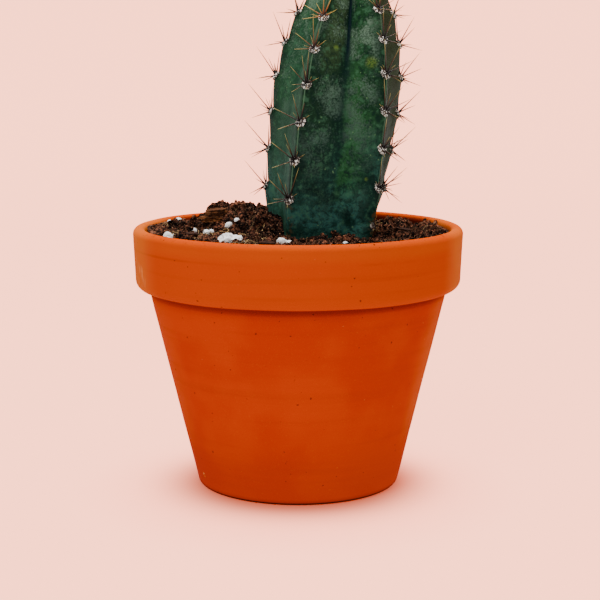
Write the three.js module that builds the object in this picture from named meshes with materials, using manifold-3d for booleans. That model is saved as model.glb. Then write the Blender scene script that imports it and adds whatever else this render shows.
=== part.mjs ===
// A young five-ribbed cactus, round-topped and leaning a little, growing in a clay pot of potting mix.
//
// Millimetres, +Z up. The origin is the centre of the pot's underside, on the pot's axis.
// -Y is the front, from where the plant is seen in the photograph, and +X is the right-hand side.
//
// Three pieces, each one solid:
//   pot     clay pot with a thick collar, a rounded lip and a drainage hole
//   soil    the potting mix: heaped on the left, with crumbs, perlite grains and bark flakes in its top
//   cactus  ribbed stem with its buried stump, woolly areoles along the ribs, and their spines

import * as THREE from 'three';
import { mergeVertices } from 'three/addons/utils/BufferGeometryUtils.js';
import Module from 'manifold-3d';

const wasm = await Module();
wasm.setup();

const DEGREE = Math.PI / 180;
const FULL_TURN = 360 * DEGREE;

// ---------------------------------------------------------------- driving dimensions, in millimetres

// Pot
const RIM_RADIUS = 55;            // outside of the collar at the lip: an 11 cm pot
const POT_HEIGHT = 87;
const COLLAR_HEIGHT = 20.4;
const COLLAR_FOOT_RADIUS = 54.3;
const COLLAR_ROUND = 3.3;         // rounding of the collar's lower corner
const NECK_RADIUS = 49.8;         // the body where it comes out from under the collar
const FOOT_RADIUS = 34.1;
const FOOT_ROUND = 1.4;
const LIP_THICKNESS = 4.4;
const WALL_AT_NECK = 4.2;
const WALL_AT_FOOT = 4.6;
const FLOOR_THICKNESS = 5.5;
const FLOOR_FILLET = 2.6;         // between the floor and the wall, inside
const DRAIN_RADIUS = 6;
const POT_SEGMENTS = 64;

const FIT_GAP = 0.35;             // between a piece and the one it lies in

// Stem. Heights are above the point where its axis enters the soil, which is the plant's own origin.
const PLANT_PLACE = new THREE.Vector3(9.1, 3, 85);
const STEM_LEAN = 0.098;          // to the right, for each millimetre of height
const STEM_RADIUS = 22;           // of the circle round the rib crests
const STEM_HEIGHT = 86.2;
const DOME_HEIGHT = 45.9;         // the crests close in over this height to the rounded top
const STUMP_DEPTH = 26;           // buried part
const STUMP_START = 18;           // the stem starts to draw in at this height, towards its buried end
const STUMP_TAPER = 0.98;         // 1 would bring the stump to a point
const CROWN_DIMPLE = 2.2;         // the growing tip lies this much below the crests around it
const CROWN_DIMPLE_RADIUS = 3.5;

// Ribs, numbered round the stem from the left-hand outline: 1 and 2 face the front, 3 is the right outline.
const RIB_COUNT = 5;
const FIRST_RIB_ANGLE = -103;     // degrees from the front, to the right
const RIB_DRIFT = [0, 13.4, -13.4, 0, 0];             // degrees a rib swings round the axis over the height
const RIB_SWELL = [-0.06, 0.01, -0.03, -0.19, -0.05];  // how far a rib fills out or shrinks near the soil
const RIB_PHASE = [0.07, 0.28, 0, 0.14, 0.42];        // shift of a rib's areoles down it, in spacings
const FURROW_AT_BASE = 0.05;      // depth between two ribs, as a share of the radius
const FURROW_AT_TOP = 0.36;
const CREST_ROUND = 0.06;         // how blunt a rib's edge is, as a share of half its width
const CHIN_HEIGHT = 1.2;          // each areole sits on a step of this height in its rib's edge
const CHIN_START = 0.06;          // the step starts this far above the areole and ends below it, in spacings
const CHIN_END = 0.08;

// Areoles
const AREOLES_PER_RIB = 10;
const FIRST_AREOLE = 3;           // from the tip, measured along the crest
const AREOLE_SPACING = 13.25;     // on grown stem; the spacing closes up towards the tip
const SPACING_RELAX = 2.6;        // over this many areoles
const AREOLE_RADIUS = 1.75;
const AREOLE_TOP = 0.88;          // radius of its flat top, as a share of the whole
const AREOLE_THICKNESS = 0.9;
const AREOLE_TILT = 28;           // degrees that an areole looks up from the stem's side
const YOUNG_AREOLES = 2;          // at the tip of each rib: small, with a tuft of upright spines

// Spines
const RADIAL_SPINES = 5;
const RADIAL_LENGTH = 8.2;
const RADIAL_TILT = 62;           // degrees from the areole's own axis
const CENTRAL_LENGTH = 12;
const CENTRAL_TILT = 20;          // towards the tip of the stem
const TUFT_TILT = 30;
const SPINE_RADIUS = 0.34;
const SPINE_ROOT = 1.1;           // how far a spine's root is sunk in
const SPINE_SPREAD = 0.95;        // distance of a spine's root from the middle of its areole

// Soil
const SOIL_LEVEL = 83.3;
const SOIL_FALL_X = 0.028;        // it lies lower to the right and to the back
const SOIL_FALL_Y = 0.02;
const HEAPS = [
  { x: -22, y: 15, width: 16, depth: 16, height: 7 },
  { x: -9, y: 4, width: 11, depth: 17, height: 6.8 },
  { x: 35, y: 25, width: 12, depth: 12, height: 2.2 },
];
const HEAP_FLAT = 0.4;            // the flat middle of a heap, as a share of its width
const SOIL_RINGS = [8, 16, 24, 32, 40, 46];
const SOIL_SEGMENTS = 48;
const CRUMB_RISE = 2;             // what stands out of the soil stays about this low

// Grains of perlite where the photograph shows them, and how many more lie in the rest of the soil
const SEEN_PERLITE = [
  { x: -22.6, y: -20, radius: 3.3 },
  { x: -18.9, y: -20.4, radius: 2.8 },
  { x: -5.3, y: -20.2, radius: 1.9 },
  { x: -42, y: -11.5, radius: 2.1 },
  { x: -38, y: 9, radius: 1.2 },
  { x: -30, y: 2, radius: 1.7 },
  { x: -44, y: 15.5, radius: 1.5 },
  { x: -41, y: 20, radius: 1.7 },
  { x: -36, y: 25, radius: 1.3 },
  { x: -23.4, y: 2.6, radius: 1.3 },
];
const SEEN_BARK = [
  { x: -28, y: 8, length: 9, width: 6, thickness: 4, turn: 15 },
  { x: 38, y: 15, length: 10, width: 5, thickness: 1.8, turn: -20 },
];
const MORE_PERLITE = 14;
const MORE_BARK = 5;
const BARK_THICKNESS = 1.8;
const CRUMBS = 46;
const HEAP_CRUMBS = 9;            // more of them on each heap

// ---------------------------------------------------------------- helpers

// Every random choice comes from this small generator, started from a seed of its own.
function randomFrom(seed) {
  let state = (seed * 7919 + 104729) % 2147483647;
  const next = () => {
    state = (state * 16807) % 2147483647;
    return state / 2147483647;
  };
  next();
  next();
  return next;
}

const mix = (a, b, share) => a + (b - a) * share;
const clamp01 = (value) => Math.min(1, Math.max(0, value));
const between = (random, low, high) => mix(low, high, random());

function smoothstep(low, high, value) {
  const share = clamp01((value - low) / (high - low));
  return share * share * (3 - 2 * share);
}

// A geometry with only its positions, its shared corners merged into one.
function cornersOf(geometry) {
  for (const name of Object.keys(geometry.attributes)) {
    if (name !== 'position') geometry.deleteAttribute(name);
  }
  return mergeVertices(geometry, 1e-4);
}

function solidOf(geometry) {
  const corners = cornersOf(geometry);
  return new wasm.Manifold(new wasm.Mesh({
    numProp: 3,
    vertProperties: corners.attributes.position.array,
    triVerts: new Uint32Array(corners.index.array),
  }));
}

function geometryOf(solid) {
  const { vertProperties, triVerts } = solid.getMesh();
  const geometry = new THREE.BufferGeometry();
  geometry.setAttribute('position', new THREE.BufferAttribute(vertProperties, 3));
  geometry.setIndex(new THREE.BufferAttribute(triVerts, 1));
  geometry.computeVertexNormals();
  return geometry;
}

const joined = (solids) => solids.reduce((whole, one) => whole.add(one));

// The largest connected body, without loose scraps.
function mainBody(solid) {
  return solid.decompose().reduce((best, one) => (one.volume() > best.volume() ? one : best));
}

// A closed surface on a grid. The first and last rows are poles, and place(column, row) gives each point.
function closedGrid(columns, rows, place) {
  const geometry = new THREE.SphereGeometry(1, columns, rows);
  const position = geometry.getAttribute('position');
  for (let row = 0; row <= rows; row++) {
    for (let column = 0; column <= columns; column++) {
      const point = place(column % columns, row);
      position.setXYZ(row * (columns + 1) + column, point.x, point.y, point.z);
    }
  }
  return geometry;
}

// ---------------------------------------------------------------- pot

const NECK_HEIGHT = POT_HEIGHT - COLLAR_HEIGHT;
const LIP_ROUND = LIP_THICKNESS / 2;
const MOUTH_RADIUS = RIM_RADIUS - LIP_THICKNESS;

// The cavity from the mouth down: radius and height of each bend of its wall.
const CAVITY = [
  { radius: MOUTH_RADIUS, height: POT_HEIGHT - LIP_ROUND },
  { radius: NECK_RADIUS - WALL_AT_NECK, height: NECK_HEIGHT },
  { radius: FOOT_RADIUS + FOOT_ROUND - WALL_AT_FOOT, height: FLOOR_THICKNESS + FLOOR_FILLET },
  { radius: FOOT_RADIUS + FOOT_ROUND - WALL_AT_FOOT - FLOOR_FILLET, height: FLOOR_THICKNESS },
];

function cavityRadius(height) {
  const below = CAVITY.findIndex((bend) => bend.height <= height);
  if (below === 0) return MOUTH_RADIUS;
  const [upper, lower] = [CAVITY[below - 1], CAVITY[below]];
  return mix(lower.radius, upper.radius, (height - lower.height) / (upper.height - lower.height));
}

function arc(x, y, radius, fromDegrees, toDegrees, steps) {
  return Array.from({ length: steps + 1 }, (_, step) => {
    const angle = mix(fromDegrees, toDegrees, step / steps) * DEGREE;
    return new THREE.Vector2(x + radius * Math.cos(angle), y + radius * Math.sin(angle));
  });
}

function buildPot() {
  const profile = [
    new THREE.Vector2(DRAIN_RADIUS, 0),
    ...arc(FOOT_RADIUS - FOOT_ROUND, FOOT_ROUND, FOOT_ROUND, -90, -14, 3),
    new THREE.Vector2(NECK_RADIUS, NECK_HEIGHT),
    ...arc(COLLAR_FOOT_RADIUS - COLLAR_ROUND, NECK_HEIGHT + COLLAR_ROUND, COLLAR_ROUND, -90, 0, 3),
    ...arc(RIM_RADIUS - LIP_ROUND, POT_HEIGHT - LIP_ROUND, LIP_ROUND, 0, 180, 6),
    ...CAVITY.slice(1).map(({ radius, height }) => new THREE.Vector2(radius, height)),
    new THREE.Vector2(DRAIN_RADIUS, FLOOR_THICKNESS),
    new THREE.Vector2(DRAIN_RADIUS, 0),
  ];
  return new THREE.LatheGeometry(profile, POT_SEGMENTS).rotateX(90 * DEGREE);
}

// ---------------------------------------------------------------- stem

const DOME_START = STEM_HEIGHT - DOME_HEIGHT;
const domeCurve = new THREE.EllipseCurve(0, DOME_START, STEM_RADIUS, DOME_HEIGHT, 90 * DEGREE, 0, true);
domeCurve.arcLengthDivisions = 800;
const DOME_LENGTH = domeCurve.getLength();

// Radius and height of the rib crests at a distance from the tip, measured along the crest.
function crestAt(distance) {
  if (distance < DOME_LENGTH) {
    const point = domeCurve.getPointAt(Math.max(0, distance) / DOME_LENGTH);
    return { radius: point.x, height: point.y };
  }
  const height = DOME_START - (distance - DOME_LENGTH);
  const buried = clamp01((STUMP_START - height) / (STUMP_START + STUMP_DEPTH));
  return { radius: STEM_RADIUS * Math.sqrt(1 - STUMP_TAPER * buried * buried), height };
}

// Distance from the tip of a place on a rib, given as a count of areoles: whole numbers are areoles.
function distanceOf(count) {
  if (count < 0) return FIRST_AREOLE * (1 + count);
  const headStart = 0.3;
  const crowded = Math.exp(-headStart / SPACING_RELAX) - Math.exp(-(count + headStart) / SPACING_RELAX);
  return FIRST_AREOLE + AREOLE_SPACING * (count - SPACING_RELAX * crowded);
}

// A value stated for each rib, blended from one crest to the next.
function acrossRibs(values, rib) {
  const first = Math.floor(rib) % RIB_COUNT;
  return mix(values[first], values[(first + 1) % RIB_COUNT], smoothstep(0, 1, rib - Math.floor(rib)));
}

// How far the rib's edge juts out: most just under each areole, falling back to nothing above the next.
function chinAt(count) {
  const below = count - Math.floor(count);
  if (count < 0.5) return 0;
  if (below < CHIN_END) return CHIN_HEIGHT * (below + CHIN_START) / (CHIN_START + CHIN_END);
  if (below > 1 - CHIN_START) return CHIN_HEIGHT * (below - 1 + CHIN_START) / (CHIN_START + CHIN_END);
  return CHIN_HEIGHT * (1 - CHIN_START - below) / (1 - CHIN_START - CHIN_END);
}

function ribAngle(rib, height) {
  const drift = acrossRibs(RIB_DRIFT, rib) * (height / STEM_HEIGHT - 0.5);
  return (FIRST_RIB_ANGLE + rib * 360 / RIB_COUNT + drift) * DEGREE;
}

// The crest's distance along a rib at a count of areoles, with the rib's own shift in it.
function ribDistance(rib, count) {
  const shifted = smoothstep(0, 1, count) * (1 - smoothstep(9, 10.4, count));
  return distanceOf(count + acrossRibs(RIB_PHASE, rib) * shifted);
}

// A point of the stem's skin. A whole rib is a crest, and half-way to the next one is a furrow.
function stemPoint(rib, count, outset = 0) {
  const { radius, height } = crestAt(ribDistance(rib, count));
  const share = height / STEM_HEIGHT;
  const toFurrow = 2 * Math.abs(rib - Math.round(rib));
  const blunted = Math.sqrt(toFurrow ** 2 + CREST_ROUND ** 2) - CREST_ROUND * (1 - toFurrow);
  const halfRib = 180 / RIB_COUNT * DEGREE;
  const flatFace = Math.cos(halfRib) / Math.cos(halfRib * (1 - clamp01(blunted)));
  const furrow = mix(FURROW_AT_BASE, FURROW_AT_TOP, smoothstep(0.42, 0.9, share)) * clamp01(2.5 * share + 1);
  const swell = 1 + acrossRibs(RIB_SWELL, rib) * clamp01(1 - share / 0.55) ** 1.5;
  const edge = (1 - smoothstep(0, 0.55, toFurrow)) * smoothstep(0, 6, radius);
  const skin = radius * flatFace * (1 - furrow * toFurrow ** 1.5) * swell + chinAt(count) * edge;
  const reach = Math.max(0, skin + outset);
  const dimple = CROWN_DIMPLE * Math.exp(-((reach / CROWN_DIMPLE_RADIUS) ** 2));
  const angle = ribAngle(rib, height);
  return new THREE.Vector3(
    STEM_LEAN * height + reach * Math.sin(angle),
    -reach * Math.cos(angle),
    height - dimple,
  );
}

// Rows of the stem's surface as counts of areoles: above and below each step, and half-way to the next.
const STEM_ROWS = [-1, -0.35, 0.45];
for (let areole = 1; areole < AREOLES_PER_RIB; areole++) {
  STEM_ROWS.push(areole - CHIN_START, areole + CHIN_END, areole + 0.5);
}
const STUMP_ROWS = [10, 10.45, 10.85, 11.1, 11.25];
const ROWS = [...STEM_ROWS, ...STUMP_ROWS];
const COLUMNS_PER_RIB = [0, 0.1, 0.28, 0.5, 0.72, 0.9];

// The stem's skin, or with an outset the hole that it stands in.
function buildStem(outset = 0) {
  const onAxis = -1e3;
  return closedGrid(RIB_COUNT * COLUMNS_PER_RIB.length, ROWS.length - 1, (column, row) => {
    const rib = Math.floor(column / COLUMNS_PER_RIB.length) + COLUMNS_PER_RIB[column % COLUMNS_PER_RIB.length];
    if (row === 0) return stemPoint(0, ROWS[0], onAxis);
    if (row < ROWS.length - 1) return stemPoint(rib, ROWS[row], outset);
    const end = stemPoint(0, ROWS[row], onAxis);
    return end.setZ(end.z - outset);
  });
}

// ---------------------------------------------------------------- soil surface

function soilHeight(x, y) {
  const level = SOIL_LEVEL - SOIL_FALL_X * x - SOIL_FALL_Y * y;
  const heaps = HEAPS.map((heap) => {
    const away = Math.hypot((x - heap.x) / heap.width, (y - heap.y) / heap.depth);
    return heap.height * (1 - smoothstep(HEAP_FLAT, 1, away));
  });
  return level + Math.max(...heaps);
}

// ---------------------------------------------------------------- areoles and spines

// Where each areole sits on its rib: its middle, its own axis, the way up along the rib, and sideways.
function areoleAt(rib, index) {
  const middle = stemPoint(rib, index);
  const distance = ribDistance(rib, index);
  const higher = crestAt(distance - 1);
  const lower = crestAt(distance + 1);
  const angle = ribAngle(rib, middle.z);
  const outward = new THREE.Vector3(Math.sin(angle), -Math.cos(angle), 0);
  const rise = new THREE.Vector3(STEM_LEAN * (higher.height - lower.height), 0, higher.height - lower.height);
  rise.addScaledVector(outward, higher.radius - lower.radius).normalize();
  const sideways = new THREE.Vector3().crossVectors(rise, outward).normalize();
  const axis = new THREE.Vector3().crossVectors(sideways, rise).normalize();
  const tilt = index < YOUNG_AREOLES ? 0 : AREOLE_TILT * DEGREE;
  axis.applyAxisAngle(sideways, -tilt);
  rise.applyAxisAngle(sideways, -tilt);
  const size = mix(0.55, 1, clamp01(index / 3));
  return { rib, index, middle, axis, rise, sideways, size, young: index < YOUNG_AREOLES };
}

function allAreoles() {
  const areoles = [];
  for (let rib = 0; rib < RIB_COUNT; rib++) {
    for (let index = 0; index < AREOLES_PER_RIB; index++) {
      const areole = areoleAt(rib, index);
      const { x, y, z } = areole.middle.clone().add(PLANT_PLACE);
      if (z - AREOLE_RADIUS > soilHeight(x, y) + CRUMB_RISE) areoles.push(areole);
    }
  }
  return areoles;
}

function areolePad({ middle, axis, size }, margin = 0) {
  const radius = AREOLE_RADIUS * size + margin;
  return new THREE.CylinderGeometry(AREOLE_TOP, 1, 2, 6)
    .scale(radius, AREOLE_THICKNESS * size + margin, radius)
    .applyQuaternion(new THREE.Quaternion().setFromUnitVectors(THREE.Object3D.DEFAULT_UP, axis))
    .translate(middle.x, middle.y, middle.z);
}

// A direction at a tilt from the areole's axis, turned round it from the way up.
function spineDirection({ axis, rise, sideways }, tiltDegrees, turnDegrees) {
  const tilt = tiltDegrees * DEGREE;
  const turn = turnDegrees * DEGREE;
  return axis.clone().multiplyScalar(Math.cos(tilt))
    .addScaledVector(rise, Math.sin(tilt) * Math.cos(turn))
    .addScaledVector(sideways, Math.sin(tilt) * Math.sin(turn));
}

// The spines of an areole: radials spread round it and one long central spine that points up and out.
function spinesOf(areole) {
  const random = randomFrom(1 + areole.rib * AREOLES_PER_RIB + areole.index);
  const radialTilt = areole.young ? TUFT_TILT : RADIAL_TILT;
  const woolTop = areole.middle.clone().addScaledVector(areole.axis, 0.75 * AREOLE_THICKNESS * areole.size);
  const spines = [];
  for (let i = 0; i < RADIAL_SPINES; i++) {
    const turn = i * 360 / RADIAL_SPINES + between(random, -12, 12);
    const direction = spineDirection(areole, radialTilt + between(random, -8, 8), turn);
    const length = RADIAL_LENGTH * between(random, 0.78, 1.2) * mix(0.8, 1, areole.size);
    const aside = spineDirection(areole, 90, turn).multiplyScalar(SPINE_SPREAD * areole.size);
    spines.push({ root: aside.add(woolTop), direction, length });
  }
  if (!areole.young) {
    const direction = spineDirection(areole, CENTRAL_TILT, between(random, -25, 25));
    spines.push({ root: woolTop, direction, length: CENTRAL_LENGTH * between(random, 0.88, 1) });
  }
  return spines.filter(clearOfSoil);
}

// A spine that would run into the soil has broken off.
function clearOfSoil({ root, direction, length }) {
  return [0.3, 0.6, 1].every((share) => {
    const { x, y, z } = root.clone().addScaledVector(direction, length * share).add(PLANT_PLACE);
    return z > soilHeight(x, y) + CRUMB_RISE + 0.8;
  });
}

function spineGeometry({ root, direction, length }) {
  return new THREE.ConeGeometry(SPINE_RADIUS, length + SPINE_ROOT, 3)
    .translate(0, (length - SPINE_ROOT) / 2, 0)
    .applyQuaternion(new THREE.Quaternion().setFromUnitVectors(THREE.Object3D.DEFAULT_UP, direction))
    .translate(root.x, root.y, root.z);
}

function buildCactus() {
  const areoles = allAreoles();
  const pads = areoles.map((areole) => solidOf(areolePad(areole)));
  const spines = areoles.flatMap(spinesOf).map((spine) => solidOf(spineGeometry(spine)));
  return geometryOf(mainBody(joined([solidOf(buildStem()), ...pads, ...spines])));
}

// ---------------------------------------------------------------- soil

function soilBed() {
  const topRings = SOIL_RINGS.map((radius) => ({ radius }));
  const wallRings = CAVITY.slice(1).map(({ radius, height }) => (
    { radius: radius - FIT_GAP, height: height + FIT_GAP }
  ));
  const rings = [...topRings, { atWall: true }, ...wallRings];
  const last = rings.length + 1;
  return closedGrid(SOIL_SEGMENTS, last, (column, row) => {
    if (row === 0) return new THREE.Vector3(0, 0, soilHeight(0, 0));
    if (row === last) return new THREE.Vector3(0, 0, FLOOR_THICKNESS + FIT_GAP);
    const ring = rings[row - 1];
    const angle = column / SOIL_SEGMENTS * FULL_TURN;
    const outward = new THREE.Vector2(Math.cos(angle), Math.sin(angle));
    const edgeHeight = soilHeight(outward.x * MOUTH_RADIUS, outward.y * MOUTH_RADIUS);
    const { x, y } = outward.multiplyScalar(ring.atWall ? cavityRadius(edgeHeight) - FIT_GAP : ring.radius);
    return new THREE.Vector3(x, y, ring.atWall ? edgeHeight : ring.height ?? soilHeight(x, y));
  });
}

// A rough lump, half sunk in the soil: a crumb has 8 faces and a grain of perlite 20.
function lump({ x, y, radius }, rounded, random) {
  const squash = rounded ? 0.8 : 0.95;
  const geometry = cornersOf(rounded ? new THREE.IcosahedronGeometry(1, 0) : new THREE.OctahedronGeometry(1, 0));
  const position = geometry.getAttribute('position');
  const corner = new THREE.Vector3();
  for (let i = 0; i < position.count; i++) {
    corner.fromBufferAttribute(position, i).multiplyScalar(radius * between(random, 0.78, 1.08));
    position.setXYZ(i, corner.x, corner.y, corner.z * squash);
  }
  return geometry.rotateZ(random() * FULL_TURN).translate(x, y, soilHeight(x, y) + 0.15 * radius);
}

// A flat flake of bark, lying on the slope of the soil with one end up.
function barkFlake({ x, y, length, width, thickness, turn }, random) {
  return new THREE.CylinderGeometry(0.5, 0.42, 1, 6)
    .rotateX(90 * DEGREE)
    .scale(length, width, thickness)
    .rotateY(between(random, -14, 14) * DEGREE)
    .rotateZ(turn * DEGREE)
    .translate(x, y, soilHeight(x, y) + 0.5 * BARK_THICKNESS);
}

// Places spread evenly over the soil, clear of the wall, of the stem and of the places already taken.
// Where a heap is given, they all lie on it.
function scatter(seed, count, lowRadius, highRadius, taken, heap = null) {
  const random = randomFrom(seed);
  const places = [];
  for (let tries = 0; places.length < count && tries < 200 * count; tries++) {
    const radius = between(random, lowRadius, highRadius);
    const out = Math.sqrt(random()) * (cavityRadius(SOIL_LEVEL - radius) - FIT_GAP - 1.1 * radius);
    const angle = random() * FULL_TURN;
    const place = { x: out * Math.cos(angle), y: out * Math.sin(angle), radius };
    const offHeap = heap && Math.hypot((place.x - heap.x) / heap.width, (place.y - heap.y) / heap.depth) > 0.8;
    const nearStem = Math.hypot(place.x - PLANT_PLACE.x, place.y - PLANT_PLACE.y) < STEM_RADIUS * 0.8;
    const crowded = [...taken, ...places].some((other) => (
      Math.hypot(place.x - other.x, place.y - other.y) < 0.85 * (radius + (other.radius ?? other.width / 2))
    ));
    if (!nearStem && !crowded && !offHeap) places.push(place);
  }
  return places;
}

function buildSoil() {
  const perlite = [...SEEN_PERLITE, ...scatter(11, MORE_PERLITE, 1.2, 2.6, [...SEEN_PERLITE, ...SEEN_BARK])];
  const moreBark = scatter(23, MORE_BARK, 2.4, 3.2, [...perlite, ...SEEN_BARK]).map(({ x, y, radius }, i) => (
    { x, y, length: 2.6 * radius, width: 1.7 * radius, thickness: BARK_THICKNESS, turn: 67 * i }
  ));
  const bark = [...SEEN_BARK, ...moreBark];
  const heaped = HEAPS.flatMap((heap, i) => scatter(31 + i, HEAP_CRUMBS, 1.9, 3, [...perlite, ...bark], heap));
  const crumbs = [...heaped, ...scatter(37, CRUMBS, 1.8, 3, [...perlite, ...bark, ...heaped])];
  const random = randomFrom(53);
  const grains = perlite.map((place) => solidOf(lump(place, true, random)));
  const lumps = crumbs.map((place) => solidOf(lump(place, false, random)));
  const flakes = bark.map((place) => solidOf(barkFlake(place, random)));
  const toWorld = ({ x, y, z }) => [x, y, z];
  const hole = [buildStem(FIT_GAP), ...allAreoles().map((areole) => areolePad(areole, FIT_GAP))]
    .map((geometry) => solidOf(geometry.translate(...toWorld(PLANT_PLACE))));
  return geometryOf(mainBody(joined([solidOf(soilBed()), ...grains, ...lumps, ...flakes]).subtract(joined(hole))));
}

// ---------------------------------------------------------------- the scene graph

function piece(name, geometry, colour, roughness) {
  const material = new THREE.MeshStandardMaterial({ color: colour, roughness, metalness: 0 });
  const mesh = new THREE.Mesh(geometry, material);
  mesh.name = name;
  return mesh;
}

const cactus = piece('cactus', buildCactus(), 0x24503c, 0.45);
cactus.position.copy(PLANT_PLACE);

const pottedCactus = new THREE.Group();
pottedCactus.add(piece('pot', buildPot(), 0xc4501a, 0.75));
pottedCactus.add(piece('soil', buildSoil(), 0x3a2418, 0.95));
pottedCactus.add(cactus);

export default pottedCactus;
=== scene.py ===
import math

import bpy
import numpy as np
from mathutils import Matrix, Vector


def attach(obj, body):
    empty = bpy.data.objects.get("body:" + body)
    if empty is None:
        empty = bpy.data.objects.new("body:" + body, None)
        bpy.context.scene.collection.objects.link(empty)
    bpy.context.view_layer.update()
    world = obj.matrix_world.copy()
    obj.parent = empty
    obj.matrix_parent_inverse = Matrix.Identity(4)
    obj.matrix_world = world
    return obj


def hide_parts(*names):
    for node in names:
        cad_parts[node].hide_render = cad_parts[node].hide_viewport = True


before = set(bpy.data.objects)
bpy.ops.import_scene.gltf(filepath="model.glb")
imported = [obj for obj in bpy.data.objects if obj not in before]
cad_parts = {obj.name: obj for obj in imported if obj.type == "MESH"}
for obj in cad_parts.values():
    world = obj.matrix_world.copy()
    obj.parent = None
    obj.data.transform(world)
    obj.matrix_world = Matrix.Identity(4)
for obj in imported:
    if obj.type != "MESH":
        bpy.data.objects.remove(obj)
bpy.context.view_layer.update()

# A young five-ribbed cactus in a clay pot of potting mix.
# Everything is made in millimetres, in the part's own frame, and turned into metres when a piece is finished.

MM = 0.001
FULL_TURN = 2 * math.pi


# ---------------- camera

CAMERA_PLACE = (0.67, -498.4, 143.7)
CAMERA_PITCH = 9.35             # degrees that it looks down
LENS = 89.8
SENSOR_WIDTH = 36


def add_object(name, data):
    obj = bpy.data.objects.new(name, data)
    bpy.context.scene.collection.objects.link(obj)
    return obj


camera = add_object("camera", bpy.data.cameras.new("camera"))
camera.location = [value * MM for value in CAMERA_PLACE]
camera.rotation_euler = (math.radians(90 - CAMERA_PITCH), 0, 0)
camera.data.lens = LENS
camera.data.sensor_width = SENSOR_WIDTH
camera.data.clip_start = 0.01
bpy.context.scene.camera = camera


# ---------------- sizes, in millimetres
# Those that the solids have too are the same here.

# Pot
RIM_RADIUS = 55.0
POT_HEIGHT = 87.0
NECK_HEIGHT = 66.6
COLLAR_FOOT_RADIUS = 54.3
COLLAR_ROUND = 3.3
NECK_RADIUS = 49.8
FOOT_RADIUS = 34.1
FOOT_ROUND = 1.4
LIP_ROUND = 2.2
NECK_GROOVE = [(-0.55, 2.6), (-0.7, 1.9), (-1.15, 1.3), (-1.25, 0.8), (-0.9, 0.3), (-0.2, 0)]   # across, down
DRAIN_RADIUS = 6.0
CAVITY = [(50.6, 84.8), (45.6, 66.6), (30.9, 8.1), (28.3, 5.5)]    # radius and height of its bends, downwards
FIT_GAP = 0.35                  # between the wall and the mix

# Stem
PLANT_PLACE = np.array([9.1, 3.0, 85.0])
STEM_RADIUS = 22.0
RIB_COUNT = 5
FIRST_RIB_ANGLE = -103.0
RIB_DRIFT = [0, 13.4, -13.4, 0, 0]
RIB_SWELL = [-0.06, 0.01, -0.03, -0.19, -0.05]
RIB_PHASE = [0.07, 0.28, 0, 0.14, 0.42]
STEM_SIZES = {
    "Radius": STEM_RADIUS, "Height": 86.2, "Dome height": 45.9,
    "Stump depth": 26.0, "Stump start": 18.0, "Stump taper": 0.98, "Lean": 0.098,
    "First areole": 3.0, "Areole spacing": 13.25, "Spacing relax": 2.6,
    "Crest round": 0.06, "Furrow at base": 0.05, "Furrow at top": 0.36,
    "Chin height": 1.2, "Chin start": 0.06, "Chin end": 0.08,
    "Crown dimple": 2.2, "Dimple radius": 3.5, "Unevenness": 0.0, "Outset": 0.0,
}
LAST_COUNT = 11.25              # areoles from the tip to the end of the buried foot
STEM_COLUMNS = 32               # of points, on each rib
STEM_ROW = 0.036                # areoles between two rows of points
SKIN_SPOTS = [((23.6, -13.1, 140.9), 1.5), ((12.3, -12.0, 145.6), 0.8), ((22.1, -13.3, 103.5), 0.5)]

# Areoles and spines
AREOLES_PER_RIB = 10
AREOLE_RADIUS = 1.75
AREOLE_THICKNESS = 0.9
PAD_SHARE = 0.78                # of that thickness, under the hairs
SPINE_SEAT = 0.75               # of that thickness, where the spines start
AREOLE_TILT = 28.0
AREOLE_REACH = 0.06             # areoles up and down the rib between which its slope is measured
YOUNG_AREOLES = 2
RADIAL_SPINES = 5
SMALL_SPINES = 4
RADIAL_LENGTH = 8.2
RADIAL_TILT = 62.0
CENTRAL_LENGTH = 12.0
CENTRAL_TILT = 20.0
TUFT_TILT = 30.0
SPINE_SPREAD = 0.95
SPINE_ROOT = 0.5
SPINE_SEED = 701
MOST_BEND = 0.05
SPINE_STEPS = np.array([0, 0.06, 0.16, 0.34, 0.56, 0.78, 1.0])
SPINE_THICKNESS = np.array([0.38, 0.37, 0.25, 0.17, 0.14, 0.10, 0.03])
YOUTH_FADES = (0.8, 3.6)        # areoles from the tip between which the spines lose their young colours
LEAST_CLEAR = 2.0               # areoles less than this far above the soil are buried
SUNK_BELOW = 6.0                # areoles less than this far above the soil are small, with worn spines
WORN_SHARE = 0.35
LATE_TUFTS = {1: 1.3}           # how many areoles further down this rib's spines keep their young colours
SHORT_SIDE = {1: 1, 2: -1}      # the side of these ribs on which the spines stay short
SHORT_SHARE = 0.5
SHORT_FROM = 0.35               # sine of the turn to that side from which they are short

# Soil
SOIL_LEVEL = 83.3
SOIL_FALL = (0.028, 0.02)
HEAPS = [(-22, 15, 16, 16, 7), (-9, 4, 11, 17, 6.8), (35, 25, 12, 12, 2.2)]    # x, y, width, depth, height
HEAP_FLAT = 0.4
BANKS = [(-40, 22, 15, 14, 1.3), (-48, -2, 12, 20, 2.0), (48, 4, 13, 26, 3.4)]    # low rises, only here
SOIL_COLUMNS = 480
PROBE_ROWS = 60
PIT_ROWS = 14
TOP_ROWS = 92
PIT_GAP = 0.12                  # between the stem's foot and the mix
MID_STEM = 6.0                  # areoles from the tip to a row that is clear of the soil all round
SMOOTH_RIM = 1.2                # the soil is even this close to the stem
WALL_RIM = 25                   # and over the last 25th of the way to the wall
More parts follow.
